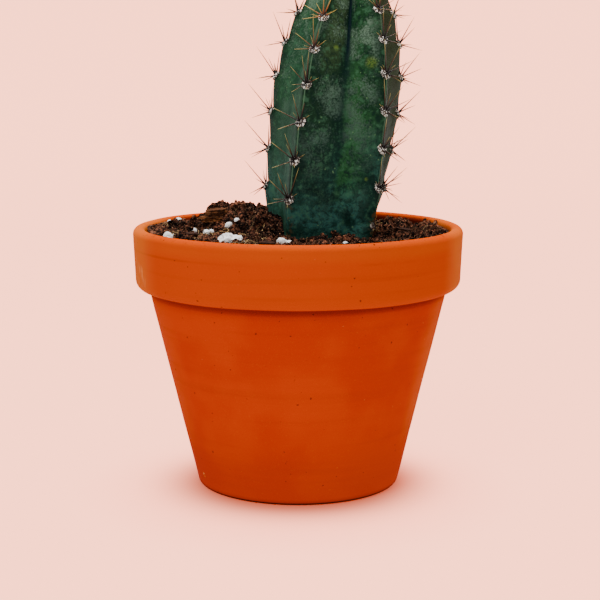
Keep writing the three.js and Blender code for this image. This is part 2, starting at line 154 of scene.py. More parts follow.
# Seed, number, and smallest and largest radius of what is scattered
SCATTERED = {"perlite": (11, 14, 1.2, 2.6), "bark": (23, 5, 2.4, 3.2), "clods": (37, 46, 1.8, 3)}
HEAPED_CLODS = [(31 + i, 9, 1.9, 3) for i in range(len(HEAPS))]
MOST_TRIES = 200                # for each grain
WALL_CLEARANCE = 1.1            # this and the next two as shares of the radii
CLOSEST = 0.85
SHRUNK_NEAR = 1.25
STEM_CLEARANCE = 0.8            # this and the next as shares of the stem's and the heap's radius
HEAP_REACH = 0.8
SEEN_PERLITE = [    # x, y, radius
    (-22.6, -20, 3.3), (-18.9, -20.4, 2.8), (-5.3, -20.2, 1.9), (-42, -11.5, 2.1), (-38, 9, 1.2),
    (-30, 2, 1.7), (-44, 15.5, 1.5), (-41, 20, 1.7), (-36, 25, 1.3), (-23.4, 2.6, 1.3),
]
SEEN_BARK = [(-28, 8, 9, 6, 4, 15), (38, 15, 10, 5, 1.8, -20)]    # x, y, length, width, thickness, turn

# The grains that show, nearer to where they lie between the crumbs, and clods at the stem's foot and the wall
SHOWN_PERLITE = [
    (-21.8, -28.8, 3.2), (-19.5, -28.8, 2.8), (-5.1, -27.2, 1.9), (-41.8, -20.8, 1.8), (-40, -18.8, 1.2),
    (-37.5, 0.4, 1.1), (-35, 0.9, 1.2), (-30.5, -3.0, 1.4), (-29.2, 1.2, 1.0), (-44.2, 15.5, 1.4),
    (-41.4, 18, 1.8), (-37.2, 26, 0.9), (-23.4, 2.6, 1.3), (-20.6, 4.2, 1.0), (-2.7, -27.6, 0.9),
    (15.2, -25.5, 0.9), (41.5, 17.5, 0.8),
]
PERLITE_LIFT = 0.6
BASE_CLODS = [
    (15.9, -22.4, 3.0), (19, -22.4, 2.3), (12.8, -22.6, 2.2), (25, -19.6, 1.6), (2, -22.4, 1.7),
    (-4, -18.5, 1.9), (22.6, -19.4, 1.5), (28, -15.5, 1.3), (43.5, 13, 1.8), (41, 20, 2.0),
    (36.5, 27.5, 2.1), (45.5, 4, 1.6), (31, 33, 1.8),
]
STAINED_GRAINS = (0, 1, 4, 5, 6, 7, 8, 9, 12, 13)    # of the scattered perlite: as brown as the mix
FLAKE_SEED = 61
FLAKE_LAYER = 0.7
FLAKE_CORNERS = 22
FLAKE_LIFT = (0.1, 0.7)         # of its middle above the soil: the first flake's, and the others'
FLAKE_TILT = 10.0               # degrees, at most
FLAKE_SIZE = (0.84, 1.16)       # of a layer, as a share
FLAKE_RAGGED = (0.84, 1.06)     # how far out a corner lies, as a share
FLAKE_SHIFT = (0.9, 0.4)        # of a layer along the flake and across it, at most
FLAKE_GAP = 0.05                # above each layer and below it
FLAKE_ROUGHNESS = 0.12
STRAND_SEED = 83
STRANDS = 260
STRAND_POINTS = 9
STRAND_RADIUS = (0.05, 0.12)
STRAND_LENGTH = (2.5, 8)
STRAND_LIFT = 0.35              # of its ends above the soil
STRAND_ARCH = (0.4, 1.6)        # its middle above its ends
STRAND_CURL = 0.35              # radians from point to point, at most
STRAND_WANDER = 0.3             # radians more at a point, by chance
STRAND_STARTS = 49              # furthest from the pot's middle
STRAND_FIELD = (21, 48)         # least distance from the stem's middle, and most from the pot's
PALE_CORNER = (-10, 4)          # to the left of this and in front of it, more of them are pale
PALE_SHARE = (0.6, 0.12)        # of the strands there, and elsewhere


# ---------------- numbers

RANDOM_PRIME = 2147483647


def random_from(seed):
    """The solids' own small generator of random numbers, so that both scatter to the same places."""
    state = (seed * 7919 + 104729) % RANDOM_PRIME

    def draw():
        nonlocal state
        state = state * 16807 % RANDOM_PRIME
        return state / RANDOM_PRIME

    draw()
    draw()
    return draw


def between(draw, low, high):
    return low + (high - low) * draw()


def swing(draw, most):
    """A random amount to either side."""
    return between(draw, -most, most)


def smoothstep(low, high, value):
    share = np.clip((value - low) / (high - low), 0, 1)
    return share * share * (3 - 2 * share)


def across_ribs(values, rib):
    """A value stated for each rib, blended from one crest to the next."""
    first = np.floor(rib).astype(int) % RIB_COUNT
    values = np.asarray(values, float)
    share = smoothstep(0, 1, rib - np.floor(rib))
    return values[first] * (1 - share) + values[(first + 1) % RIB_COUNT] * share


def polar(out, angle):
    return out * math.cos(angle), out * math.sin(angle)


def unit(vectors):
    return vectors / np.linalg.norm(vectors, axis=-1, keepdims=True)


def soil_height(x, y):
    heaps = [
        height * (1 - smoothstep(HEAP_FLAT, 1, np.hypot((x - heap_x) / width, (y - heap_y) / depth)))
        for heap_x, heap_y, width, depth, height in HEAPS + BANKS
    ]
    return SOIL_LEVEL - SOIL_FALL[0] * x - SOIL_FALL[1] * y + np.max(heaps, axis=0)


def cavity_radius(height):
    radii, heights = np.array(CAVITY[::-1]).T
    return np.interp(height, heights, radii)


# ---------------- node trees

def joined_by(operation):
    """A field's method that joins it to another field, or to a number, by a Math node."""
    return lambda field, other: field.math(operation, other)


def adding(kind, *names, **settings):
    """A tree's method that adds a node of this kind and fills its inputs of these names, in their order."""
    return lambda tree, *values: tree.field(kind, dict(zip(names, values)), **settings)


class Field:
    """What a node gives: a number, vector, colour or shape. Sums and products of fields add Math nodes."""

    __add__ = __radd__ = joined_by("ADD")
    __sub__ = joined_by("SUBTRACT")
    __mul__ = __rmul__ = joined_by("MULTIPLY")
    __truediv__ = joined_by("DIVIDE")
    __pow__ = joined_by("POWER")
    above = joined_by("GREATER_THAN")

    def __init__(self, tree, socket):
        self.tree, self.socket = tree, socket

    def math(self, operation, *others):
        return self.tree.field("ShaderNodeMath", dict(enumerate((self, *others))), operation=operation)

    def __rsub__(self, other):
        return self * -1 + other

    def clamped(self):
        return self.math("MINIMUM", 1).math("MAXIMUM", 0)

    def rise(self, low, high):
        """0 up to the low value and 1 from the high one, eased between."""
        limits = {"Value": self, "From Min": low, "From Max": high}
        return self.tree.field("ShaderNodeMapRange", limits, interpolation_type="SMOOTHSTEP")

    def fall(self, low, high):
        return 1 - self.rise(low, high)

    def band(self, start, full, still, end):
        """1 from the second value to the third, eased to 0 at the first and the last."""
        return self.rise(start, full) * self.fall(still, end)

    def towards(self, other, share):
        return self + (other - self) * share

    def axis(self, index):
        return self.tree.field("ShaderNodeSeparateXYZ", {0: self}, index)

    def vector_math(self, operation, other):
        return self.tree.field("ShaderNodeVectorMath", {0: self, 1: other}, operation=operation)

    def scaled(self, scale):
        return self.tree.field("ShaderNodeVectorMath", {0: self, "Scale": scale}, operation="SCALE")

    def length(self):
        return self.tree.field("ShaderNodeVectorMath", {0: self}, "Value", operation="LENGTH")


class NodeTree:
    """A tree of nodes. Its noise and cells vary over its place, in millimetres."""

    vector = adding("ShaderNodeCombineXYZ", "X", "Y", "Z")

    def __init__(self, tree):
        self.tree = tree

    def add(self, kind, inputs=None, **settings):
        """Adds a node, with its settings, and its inputs joined to a field or socket or set to a value."""
        node = self.tree.nodes.new(kind)
        for name, value in settings.items():
            setattr(node, name, value)
        for name, value in (inputs or {}).items():
            self.feed(node.inputs[name], value)
        return node

    def feed(self, target, value):
        if isinstance(value, Field):
            value = value.socket
        if isinstance(value, bpy.types.NodeSocket):
            self.tree.links.new(value, target)
        else:
            target.default_value = value

    def field(self, kind, inputs=None, output=0, **settings):
        return Field(self, self.add(kind, inputs, **settings).outputs[output])

    def noise(self, size, detail=2.0, roughness=0.5, stretch=(1, 1, 1), distortion=0.0):
        """Noise from 0 to 1 with features of about this size, drawn out where stretch is over 1."""
        place = self.place.vector_math("MULTIPLY", [1 / (size * factor) for factor in stretch])
        inputs = {"Detail": detail, "Roughness": roughness, "Distortion": distortion}
        return self.field("ShaderNodeTexNoise", {"Vector": place, "Scale": 1.0, **inputs})

    def waves(self, size, height, **shape):
        """Noise round 0 that spans about this height."""
        return (self.noise(size, **shape) - 0.5) * height

    def veins(self, size, width, **shape):
        """1 on thin winding lines about this far apart, and 0 between them."""
        return (self.noise(size, **shape) - 0.5).math("ABSOLUTE").fall(0.0, width)

    def cells(self, size, feature="F1"):
        """How far the nearest of points this far apart is, or the edge between two of them, as a share."""
        inputs = {"Vector": self.place, "Scale": 1 / size}
        return self.field("ShaderNodeTexVoronoi", inputs, "Distance", feature=feature)


class ShapeTree(NodeTree):
    """A geometry tree with a named input for each size, which it gives by that name."""

    SOCKET_KINDS = {float: "Float", int: "Int", bpy.types.Material: "Material"}

    ball = adding("GeometryNodeMeshIcoSphere", "Subdivisions")
    circle = adding("GeometryNodeCurvePrimitiveCircle", "Resolution", "Radius")
    curve = adding("GeometryNodeMeshToCurve", "Mesh")
    copies = adding("GeometryNodeInstanceOnPoints", "Points", "Instance", "Rotation", "Scale")
    realized = adding("GeometryNodeRealizeInstances", "Geometry")
    shaded = adding("GeometryNodeSetShadeSmooth", "Geometry", "Shade Smooth")
    covered = adding("GeometryNodeSetMaterial", "Geometry", "Material")
    turn_by = adding("FunctionNodeEulerToRotation", "Euler")

    def __init__(self, name, sizes):
        super().__init__(bpy.data.node_groups.new(name, "GeometryNodeTree"))
        self.sizes = sizes
        sockets = self.tree.interface
        sockets.new_socket("Geometry", in_out="INPUT", socket_type="NodeSocketGeometry")
        for size, value in sizes.items():
            kind = "NodeSocket" + self.SOCKET_KINDS[type(value)]
            socket = sockets.new_socket(size, in_out="INPUT", socket_type=kind)
            if not isinstance(value, bpy.types.Material):
                socket.default_value = value
        sockets.new_socket("Geometry", in_out="OUTPUT", socket_type="NodeSocketGeometry")
        given = self.add("NodeGroupInput")
        self.given = {socket.name: Field(self, socket) for socket in given.outputs if socket.name}
        self.place = self.field("GeometryNodeInputPosition")
        self.normal = self.field("GeometryNodeInputNormal")

    def __getitem__(self, size):
        return self.given[size]

    def attribute(self, name, kind="FLOAT"):
        return self.field("GeometryNodeInputNamedAttribute", {"Name": name}, "Attribute", data_type=kind)

    def with_value(self, shape, name, value, domain):
        inputs = {"Geometry": shape, "Name": name, "Value": value}
        return self.field("GeometryNodeStoreNamedAttribute", inputs, data_type="FLOAT", domain=domain)

    def moved(self, shape, **way):
        return self.field("GeometryNodeSetPosition", {"Geometry": shape, **way})

    def pushed(self, shape, amount):
        """Each point moved this far outwards."""
        return self.moved(shape, Offset=self.normal.scaled(amount))

    def strewn(self, ground, density, seed):
        """The node that scatters points over a surface, this many on a square millimetre."""
        inputs = {"Mesh": ground, "Density": density, "Seed": seed}
        return self.add("GeometryNodeDistributePointsOnFaces", inputs)

    def random_turn(self, low, high, seed):
        limits = {"Min": low, "Max": high, "Seed": seed}
        return self.turn_by(self.field("FunctionNodeRandomValue", limits, data_type="FLOAT_VECTOR"))

    def end(self, shape, smooth=True):
        """Realizes what is left as copies, shades it, gives it its finish and hands it out."""
        real = self.shaded(self.realized(shape), smooth)
        self.add("NodeGroupOutput", {"Geometry": self.covered(real, self["Finish"])})

    def grown(self, name, mesh, **changed):
        """A new object with the plain mesh that this tree makes of another, perhaps with sizes changed."""
        host = add_object(name, mesh)
        modifier = host.modifiers.new(name, "NODES")
        modifier.node_group = self.tree
        sizes = {**self.sizes, **changed}
        for item in self.tree.interface.items_tree:
            if item.in_out == "INPUT" and item.name in sizes:
                modifier[item.identifier] = sizes[item.name]
        graph = bpy.context.evaluated_depsgraph_get()
        result = bpy.data.meshes.new_from_object(host.evaluated_get(graph), depsgraph=graph)
        host.modifiers.remove(modifier)
        host.data = result
        return host


# ---------------- meshes and pieces

def mesh_of(name, points, faces=(), edges=(), **values):
    """A mesh of points in millimetres, with values stored at its points under their names."""
    mesh = bpy.data.meshes.new(name)
    mesh.from_pydata([tuple(map(float, point)) for point in points], edges, faces)
    for key, value in values.items():
        value = np.asarray(value, np.float32)
        kind, field = ("FLOAT_VECTOR", "vector") if value.ndim == 2 else ("FLOAT", "value")
        mesh.attributes.new(key, kind, "POINT").data.foreach_set(field, value.ravel())
    return mesh


def ring_faces(columns, rows, closed=True):
    """Faces from a pole over rings of points, one after another, and to a last pole where they close."""
    faces = []
    for column in range(columns):
        after = (column + 1) % columns
        faces.append((0, 1 + column, 1 + after))
        for row in range(rows - 1):
            upper, lower = 1 + row * columns, 1 + (row + 1) * columns
            faces.append((upper + column, lower + column, lower + after, upper + after))
        if closed:
            last_ring = 1 + (rows - 1) * columns
            faces.append((last_ring + after, last_ring + column, last_ring + columns))
    return faces


def prism(outline, low, high):
    """Points and faces of a plate with this outline."""
    count = len(outline)
    points = [(x, y, low) for x, y in outline] + [(x, y, high) for x, y in outline]
    faces = [tuple(range(count))[::-1], tuple(range(count, 2 * count))]
    faces += [(i, (i + 1) % count, count + (i + 1) % count, count + i) for i in range(count)]
    return points, faces


def lines_mesh(name, lines, **values):
    """Open lines as one mesh of edges. Each value is a list with one array for each line."""
    starts = np.cumsum([0] + [len(line) for line in lines])
    edges = [(start + i, start + i + 1) for start, line in zip(starts, lines) for i in range(len(line) - 1)]
    joined = {key: np.concatenate(value) for key, value in values.items()}
    return mesh_of(name, np.concatenate(lines), edges=edges, **joined)


def finish_piece(obj, slot, *nodes):
    """Turns a piece into metres, says what it rides on and hides the solids that it stands for. Its finish
    slot is not used.
    """
    obj.data.transform(Matrix.Scale(MM, 4))
    obj.data.update()
    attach(obj, "root")
    if nodes:
        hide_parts(*nodes)


# ---------------- finishes
# Places and sizes are in millimetres, z is the height above the floor, and colours are screen values.

def colour(value):
    """A colour as a shader takes it, from three screen values of 0 to 255.

    A field, or four values that a shader takes already, stays as it is.
    """
    if isinstance(value, Field) or len(value) == 4:
        return value
    screen = [channel / 255 for channel in value]
    return tuple(v / 12.92 if v <= 0.04045 else ((v + 0.055) / 1.055) ** 2.4 for v in screen) + (1.0,)


class Finish(NodeTree):
    """A material of colours laid one over another, each in full where its share is 1."""

    def __init__(self, name, base, gloss, roughness=0.5):
        self.material = bpy.data.materials.new(name)
        self.material.use_nodes = True
        super().__init__(self.material.node_tree)
        self.shader = self.tree.nodes["Principled BSDF"].inputs
        self.shader["Specular IOR Level"].default_value = gloss
        self.shader["Roughness"].default_value = roughness
        spot = self.field("ShaderNodeTexCoord", output="Object")
        self.place = self.field("ShaderNodeMapping", {"Vector": spot, "Scale": (1 / MM,) * 3})
        self.coat = colour(base)

    def stored(self, name):
        """A value stored at the points of the mesh."""
        return self.field("ShaderNodeAttribute", output="Fac", attribute_name=name)

    def around(self, centre, radius, soft=0.5):
        """1 within this many millimetres of a point, falling to 0 outside."""
        away = self.place.vector_math("SUBTRACT", centre).length()
        return away.fall(radius * (1 - soft), radius * (1 + soft))

    def blend(self, first, second, share):
        inputs = {0: share, 6: colour(first), 7: colour(second)}
        return self.field("ShaderNodeMix", inputs, 2, data_type="RGBA", clamp_factor=True)

    def lay(self, over, share):
        self.coat = self.blend(self.coat, over, share)

    def done(self, bumps=None, depth=0.0, roughness=None):
        """The material, with bumps of this depth and a roughness that varies, where it has them."""
        self.feed(self.shader["Base Color"], self.coat)
        if roughness:
            self.feed(self.shader["Roughness"], roughness)
        if bumps:
            raised = self.field("ShaderNodeBump", {"Height": bumps, "Distance": depth * MM})
            self.feed(self.shader["Normal"], raised)
        return self.material


def clay_finish():
    """Fired red clay: warm orange, lighter at the lip with a painted highlight, with fine throwing lines,
    grit and lime marks.
    """
    clay = Finish("terracotta", (195, 45, 0), gloss=0.004)
    x, y, z = (clay.place.axis(i) for i in range(3))
    radius = (x * x + y * y).math("SQRT")
    clouds = clay.noise(24, detail=3)
    rings = clay.noise(2.4, detail=3, stretch=(30, 30, 1))
    grain = clay.noise(0.5)
    on_collar = z.rise(66.4, 67.2)
    clay.lay((203, 53, 0), clouds.rise(0.38, 0.62))
    clay.lay((205, 63, 0), on_collar * 0.85)
    clay.lay((160, 38, 0), rings.rise(0.45, 0.8) * 0.2)
    clay.lay((216, 84, 0), grain.rise(0.55, 0.8) * 0.25)
    # Lighter over the collar's upper band, and a painted highlight on the rounded lip top
    upper_band_and_lip_highlight = z.rise(80.4, 83.6) * 0.25 + z.rise(84.6, 86.8) * 0.15
    clay.lay((212, 88, 0), upper_band_and_lip_highlight * (0.6 + 0.8 * clay.noise(9)))
    lip_wear = z.rise(85.6, 86.9) * clay.noise(1.8, detail=3).rise(0.56, 0.7)
    clay.lay((120, 44, 10), lip_wear * 0.35)
    edge_line = z.band(80.0, 80.6, 80.6, 81.3) * clay.noise(30).rise(0.4, 0.6)
    clay.lay((160, 44, 0), edge_line * 0.35)
    grit = clay.noise(1.5, detail=1).rise(0.76, 0.8)
    clay.lay((96, 26, 2), grit * 0.75)
    lime = clay.noise(1.3, detail=3, stretch=(1, 1, 4)).rise(0.54, 0.64)
    lime_area = (x * -1).rise(48.6, 49.6) * (y * -1).rise(13, 16) * z.rise(68, 71) * z.fall(76, 80)
    lime_spots = clay.noise(1.1).rise(0.77, 0.8) * 0.5
    clay.lay((255, 150, 88), (lime * lime_area * 0.6 + lime_spots).clamped())
    inside = radius.fall(50.7, 51.7) * z.rise(67.5, 71)
    clay.lay((108, 25, 5), inside * 0.9)
    dirt = inside * (0.65 + 0.35 * clay.noise(5, detail=3).rise(0.4, 0.6)) * z.fall(83.5, 86.8)
    clay.lay((52, 20, 10), dirt * 0.85)
    clay.lay((118, 22, 0), z.fall(0.2, 2.4) * 0.45 + z.fall(2, 34) * 0.3)    # darker towards the bottom, with painted shade close to the bottom edge
    clay.lay((24, 5, 0), z.fall(0.5, 1.2) * 0.95)    # painted shade: a dark contact line where it stands
    chip = clay.around((-30.5, -15.5, 5.5), 1.0) * clay.noise(0.8).rise(0.4, 0.6)
    clay.lay((236, 150, 80), chip * 0.8)
    side = x / radius
    # Painted rim light: lighter bands near the left and right edges as seen from the front, stronger on the
    # collar
    right_rim_light = side.rise(0.84, 0.95) * (1 - side.rise(0.97, 1.0) * 0.5) * z.rise(10, 30)
    left_rim_light = (side * -1).rise(0.8, 0.99) * z.rise(10, 30) * (0.12 + 0.55 * on_collar)
    rim_light = right_rim_light * (0.25 + 0.25 * on_collar) + left_rim_light
    clay.lay((224, 112, 34), (rim_light * (0.6 + 0.8 * clay.noise(7, detail=3))).clamped())
    # Painted shade in the groove under the collar
    neck_shade = z.band(63.8, 66.0, 66.4, 66.8) * radius.rise(46.0, 47.5)
    clay.lay((126, 8, 0), neck_shade * neck_shade * 0.75)
    bumps = grain * 0.25 + rings * 0.6 + clay.noise(1.7) * 0.35 - grit * 0.5
    return clay.done(bumps, 0.14, roughness=0.55 + clouds * 0.12 + grain * 0.1)


def skin_finish():
    """Waxy green skin: blue-green at the base, clouded with a grey-green bloom, dark along the furrows."""
    skin = Finish("cactus_skin", (50, 96, 88), gloss=0.05)
    z = skin.place.axis(2)
    across, rib, count = (skin.stored(name) for name in ("across", "rib", "count"))
    tall = z.rise(92, 165)
    grain = skin.noise(0.6, detail=4, roughness=0.7)
    clouds = skin.noise(11, detail=3, roughness=0.6)
    skin.lay((27, 58, 33), z.rise(84, 128))
    skin.lay((9, 32, 22), (clouds + grain * 0.3).rise(0.58, 0.74) * (0.8 - 0.25 * tall))
    # The face that shows most: painted shade on its left half, painted light on its right half, and painted
    # shade darkest down its middle
    shaded_left_half = rib.band(1.0, 1.03, 1.34, 1.52) * z.rise(88, 104)
    skin.lay((19, 38, 25), shaded_left_half * 0.65)
    worn = rib.band(1.05, 1.15, 1.36, 1.46) * z.rise(134, 146)
    skin.lay((72, 86, 50), worn * 0.35)
    wavy = rib + (clouds - 0.5) * 0.25 + (grain - 0.5) * 0.08
    lit_right_half = wavy.band(1.46, 1.58, 1.66, 1.95) * z.rise(92, 106) * (1.3 - z.rise(122, 150))
    skin.lay((42, 92, 42), lit_right_half * 0.45)
    # Painted shade along the furrow in the middle of that face
    furrow_shade = (wavy - 1.43).math("ABSOLUTE").fall(0.03, 0.16)
    skin.lay((8, 34, 18), furrow_shade * z.rise(102, 122) * z.fall(140, 152) * 0.75)
    mottle = skin.noise(2.0, detail=5, roughness=0.65)
    skin.lay((9, 34, 26), mottle.rise(0.49, 0.6) * 0.75)
    skin.lay((72, 114, 84), (1 - mottle).rise(0.52, 0.64) * 0.4)
    # Bloom: fine grey-green grains that gather in patches, most of them between the furrow and the crest
    patches = skin.noise(8, detail=3, roughness=0.65)
    gathered = (patches + (grain - 0.5) * 0.65).rise(0.43, 0.67)
    on_flank = across.band(0.08, 0.3, 0.82, 0.98)
    bloom = gathered * (0.35 + 0.65 * on_flank) * (0.6 + 0.4 * grain.rise(0.4, 0.6))
    skin.lay(skin.blend((54, 82, 70), (104, 126, 104), tall), bloom * (0.5 + 0.42 * tall))
    powdery = skin.around((7.8, -13, 117), 9.5, soft=0.7) * gathered
    skin.lay((80, 100, 90), powdery * 0.25)
    # Thin dark cracks low on the stem
    cracks = skin.veins(5, 0.035, detail=4, roughness=0.6, distortion=0.8)
    skin.lay((4, 18, 20), cracks * skin.noise(13, detail=1).rise(0.36, 0.52) * 0.55 * z.fall(105, 135))
    # Furrows: painted shade, a dark line high up and a soft shade lower down
    furrow = (across + (grain - 0.5) * 0.2 + (clouds - 0.5) * 0.15).rise(0.86, 0.975) * z.rise(136, 150)
    skin.lay((6, 26, 30), furrow * 0.9 + across.rise(0.6, 1.0) * z.rise(96, 125) * 0.35)
    lit_face = rib.band(0.04, 0.2, 0.93, 0.99)
    skin.lay((50, 92, 64), lit_face * 0.3)
    flecks = skin.cells(1.9).fall(0.1, 0.17) * skin.noise(6, detail=1).rise(0.52, 0.62)
    skin.lay((110, 146, 96), flecks * 0.45)
    # Crests: a thin pale edge, and shade just under each areole
    under = count.math("FRACT").fall(0.04, 0.3) * across.fall(0.0, 0.3) * count.above(0)
    skin.lay((4, 20, 14), under * 0.6)
    crest = across.fall(0.004, 0.024) * z.rise(88, 98)
    skin.lay((92, 122, 92), crest * 0.7)
    shaded_face = rib.band(2.0, 2.05, 2.94, 3.0)
    skin.lay((42, 43, 14), shaded_face * 0.75)
    cork = across.fall(0.02, 0.16) * z.fall(92, 100) * skin.noise(1.5, detail=3).rise(0.5, 0.62)
    skin.lay((96, 66, 36), cork * 0.6)
    for centre, radius in SKIN_SPOTS:
        skin.lay((104, 128, 48), skin.around(centre, radius, soft=0.8) * grain.rise(0.34, 0.6) * 0.7)
    bumps = skin.noise(1.2, detail=3) * 0.6 + bloom * 0.4
    return skin.done(bumps, 0.12, roughness=0.42 + bloom * 0.25)


def wool_finish():
    """Cream tufts with dark gaps between them, dirty near the soil."""
    wool = Finish("areole_wool", (150, 118, 96), gloss=0.1, roughness=0.95)
    tufts = wool.noise(0.5, detail=3)
    wool.lay((255, 246, 234), tufts.rise(0.34, 0.46))
    gaps = wool.cells(1.5, feature="DISTANCE_TO_EDGE").fall(0.07, 0.17)
    pits = wool.cells(1.5).fall(0.2, 0.3)
    wool.lay((30, 12, 9), gaps.math("MAXIMUM", pits) * 0.95)
    wool.lay((58, 36, 26), wool.place.axis(2).fall(88, 95) * 0.6)
    return wool.done(tufts, 0.25)


def spine_finish():
    """Nearly black at the root, brown, then straw yellow at the tip. Young spines are orange."""
    spine = Finish("spine", (22, 9, 8), gloss=0.25, roughness=0.4)
    along, young = spine.stored("along"), spine.stored("young")
    spine.lay((74, 40, 24), along.rise(0.14, 0.4))
    spine.lay(spine.blend((124, 92, 48), (200, 178, 108), along.rise(0.6, 1.0)), along.rise(0.38, 0.78))
    youthful = spine.blend((178, 84, 30), (222, 184, 92), along.rise(0.1, 0.7))
    spine.lay(youthful, young * along.rise(0.04, 0.22) * 0.85)
    return spine.done()


def soil_finish():
    """Peat: nearly black between the crumbs, brown and reddish on them, with straw-coloured bits and painted
    shade in its creases.
    """
    peat = Finish("potting_mix", (18, 9, 7), gloss=0.08, roughness=0.97)
    crumbs = peat.noise(1.3, detail=5, roughness=0.7)
    peat.lay((160, 98, 70), crumbs.rise(0.43, 0.68))
    peat.lay((138, 84, 62), peat.noise(3.1, detail=3).rise(0.53, 0.68) * 0.5)
    # Painted shade in the creases, along the same lines as the creases in the soil's surface
    peat.lay((6, 3, 3), peat.veins(4.2, 0.06, detail=3) * 0.95)
    # Darker in broad patches, and in a spot at the stem's left foot
    darker_patches = peat.noise(6, detail=3).rise(0.48, 0.6) * 0.65 + peat.around((-9, -3, 87), 9, soft=0.7) * 0.6
    peat.lay((14, 6, 5), darker_patches.clamped())
    straw = peat.noise(0.7).rise(0.62, 0.7)
    peat.lay((176, 130, 96), straw * 0.65)
    return peat.done(crumbs, 0.7)


def perlite_finish():
    """Bright white grains with shallow pits, here and there stained brown."""
    perlite = Finish("perlite", (226, 210, 198), gloss=0.5, roughness=0.9)
    pits = perlite.noise(0.7, detail=3)
    perlite.lay((255, 253, 250), pits.rise(0.28, 0.4))
    stain = perlite.noise(2.8, detail=3).rise(0.62, 0.74)
    perlite.lay((150, 110, 84), stain * 0.5)
    return perlite.done(pits, 0.3)


def bark_finish():
    """Brown fibres, darker in the upper layers and in every flake but the first."""
    bark = Finish("bark", (58, 33, 19), gloss=0.1, roughness=0.88)
    fibres = bark.noise(0.9, detail=4, stretch=(3, 1, 0.6))
    bark.lay((154, 94, 52), fibres.rise(0.38, 0.62))
    bark.lay((40, 20, 13), bark.stored("layer").rise(0.4, 0.9) * 0.3)
    bark.lay((40, 20, 13), bark.noise(2.6, detail=3).rise(0.48, 0.6) * 0.7)
    bark.lay((44, 24, 18), bark.stored("tone") * 0.85)
    return bark.done(fibres, 0.4)


def fibre_finish():
    """Dark brown to straw, as each strand's stored paleness says."""
    fibre = Finish("root_fibre", (44, 24, 16), gloss=0.1, roughness=0.85)
    fibre.lay((198, 160, 110), fibre.stored("pale"))
    return fibre.done()


# ---------------- pot

def arc(x, y, radius, from_degrees, to_degrees, steps):
    angles = np.radians(np.linspace(from_degrees, to_degrees, steps + 1))
    return [(x + radius * math.cos(angle), y + radius * math.sin(angle)) for angle in angles]


def spaced(line, step):
    """The points of a closed line with more of them added, no further apart than this."""
    result = []
    for (x, y), (next_x, next_y) in zip(line, line[1:] + line[:1]):
        count = max(1, math.ceil(math.hypot(next_x - x, next_y - y) / step))
        result += [(x + (next_x - x) * i / count, y + (next_y - y) * i / count) for i in range(count)]
    return result


def build_pot():
    """The pot's wall, swept round a circle: a thick collar with a rounded lip, and a drainage hole."""
    line = [(DRAIN_RADIUS, 0)]
    line += arc(FOOT_RADIUS - FOOT_ROUND, FOOT_ROUND, FOOT_ROUND, -90, -14, 6)
    line += [(NECK_RADIUS + across, NECK_HEIGHT - down) for across, down in NECK_GROOVE]
    line += arc(COLLAR_FOOT_RADIUS - COLLAR_ROUND, NECK_HEIGHT + COLLAR_ROUND, COLLAR_ROUND, -90, 0, 10)
    line += arc(RIM_RADIUS - LIP_ROUND, POT_HEIGHT - LIP_ROUND, LIP_ROUND, 0, 180, 18)
    line += CAVITY[1:] + [(DRAIN_RADIUS, CAVITY[-1][1])]
    line = spaced(line, 2.0)
    edges = [(i, (i + 1) % len(line)) for i in range(len(line))]
    sweep_radius = 40.0
    outline = mesh_of("pot_wall", [(x - sweep_radius, -y, 0) for x, y in line[::-1]], edges=edges)
    wall = ShapeTree("thrown_wall", {
        "Sweep radius": sweep_radius, "Ring height": 0.09, "Sides": 256, "Finish": clay_finish(),
    })
    circle = wall.circle(wall["Sides"], wall["Sweep radius"])
    upright = wall.field("GeometryNodeSetCurveNormal", {"Curve": circle}, mode="Z_UP")
    profile = wall.curve(wall["Geometry"])
    swept = wall.field("GeometryNodeCurveToMesh", {"Curve": upright, "Profile Curve": profile})
    rings = wall.waves(2.6, wall["Ring height"], stretch=(40, 40, 1))
    uneven = wall.waves(24, wall["Ring height"], detail=1) * 3
    standing = wall.place.axis(2).rise(1, 4)
    wall.end(wall.pushed(swept, (rings + uneven) * standing))
    finish_piece(wall.grown("clay_pot", outline), "clay", "pot")


# ---------------- stem

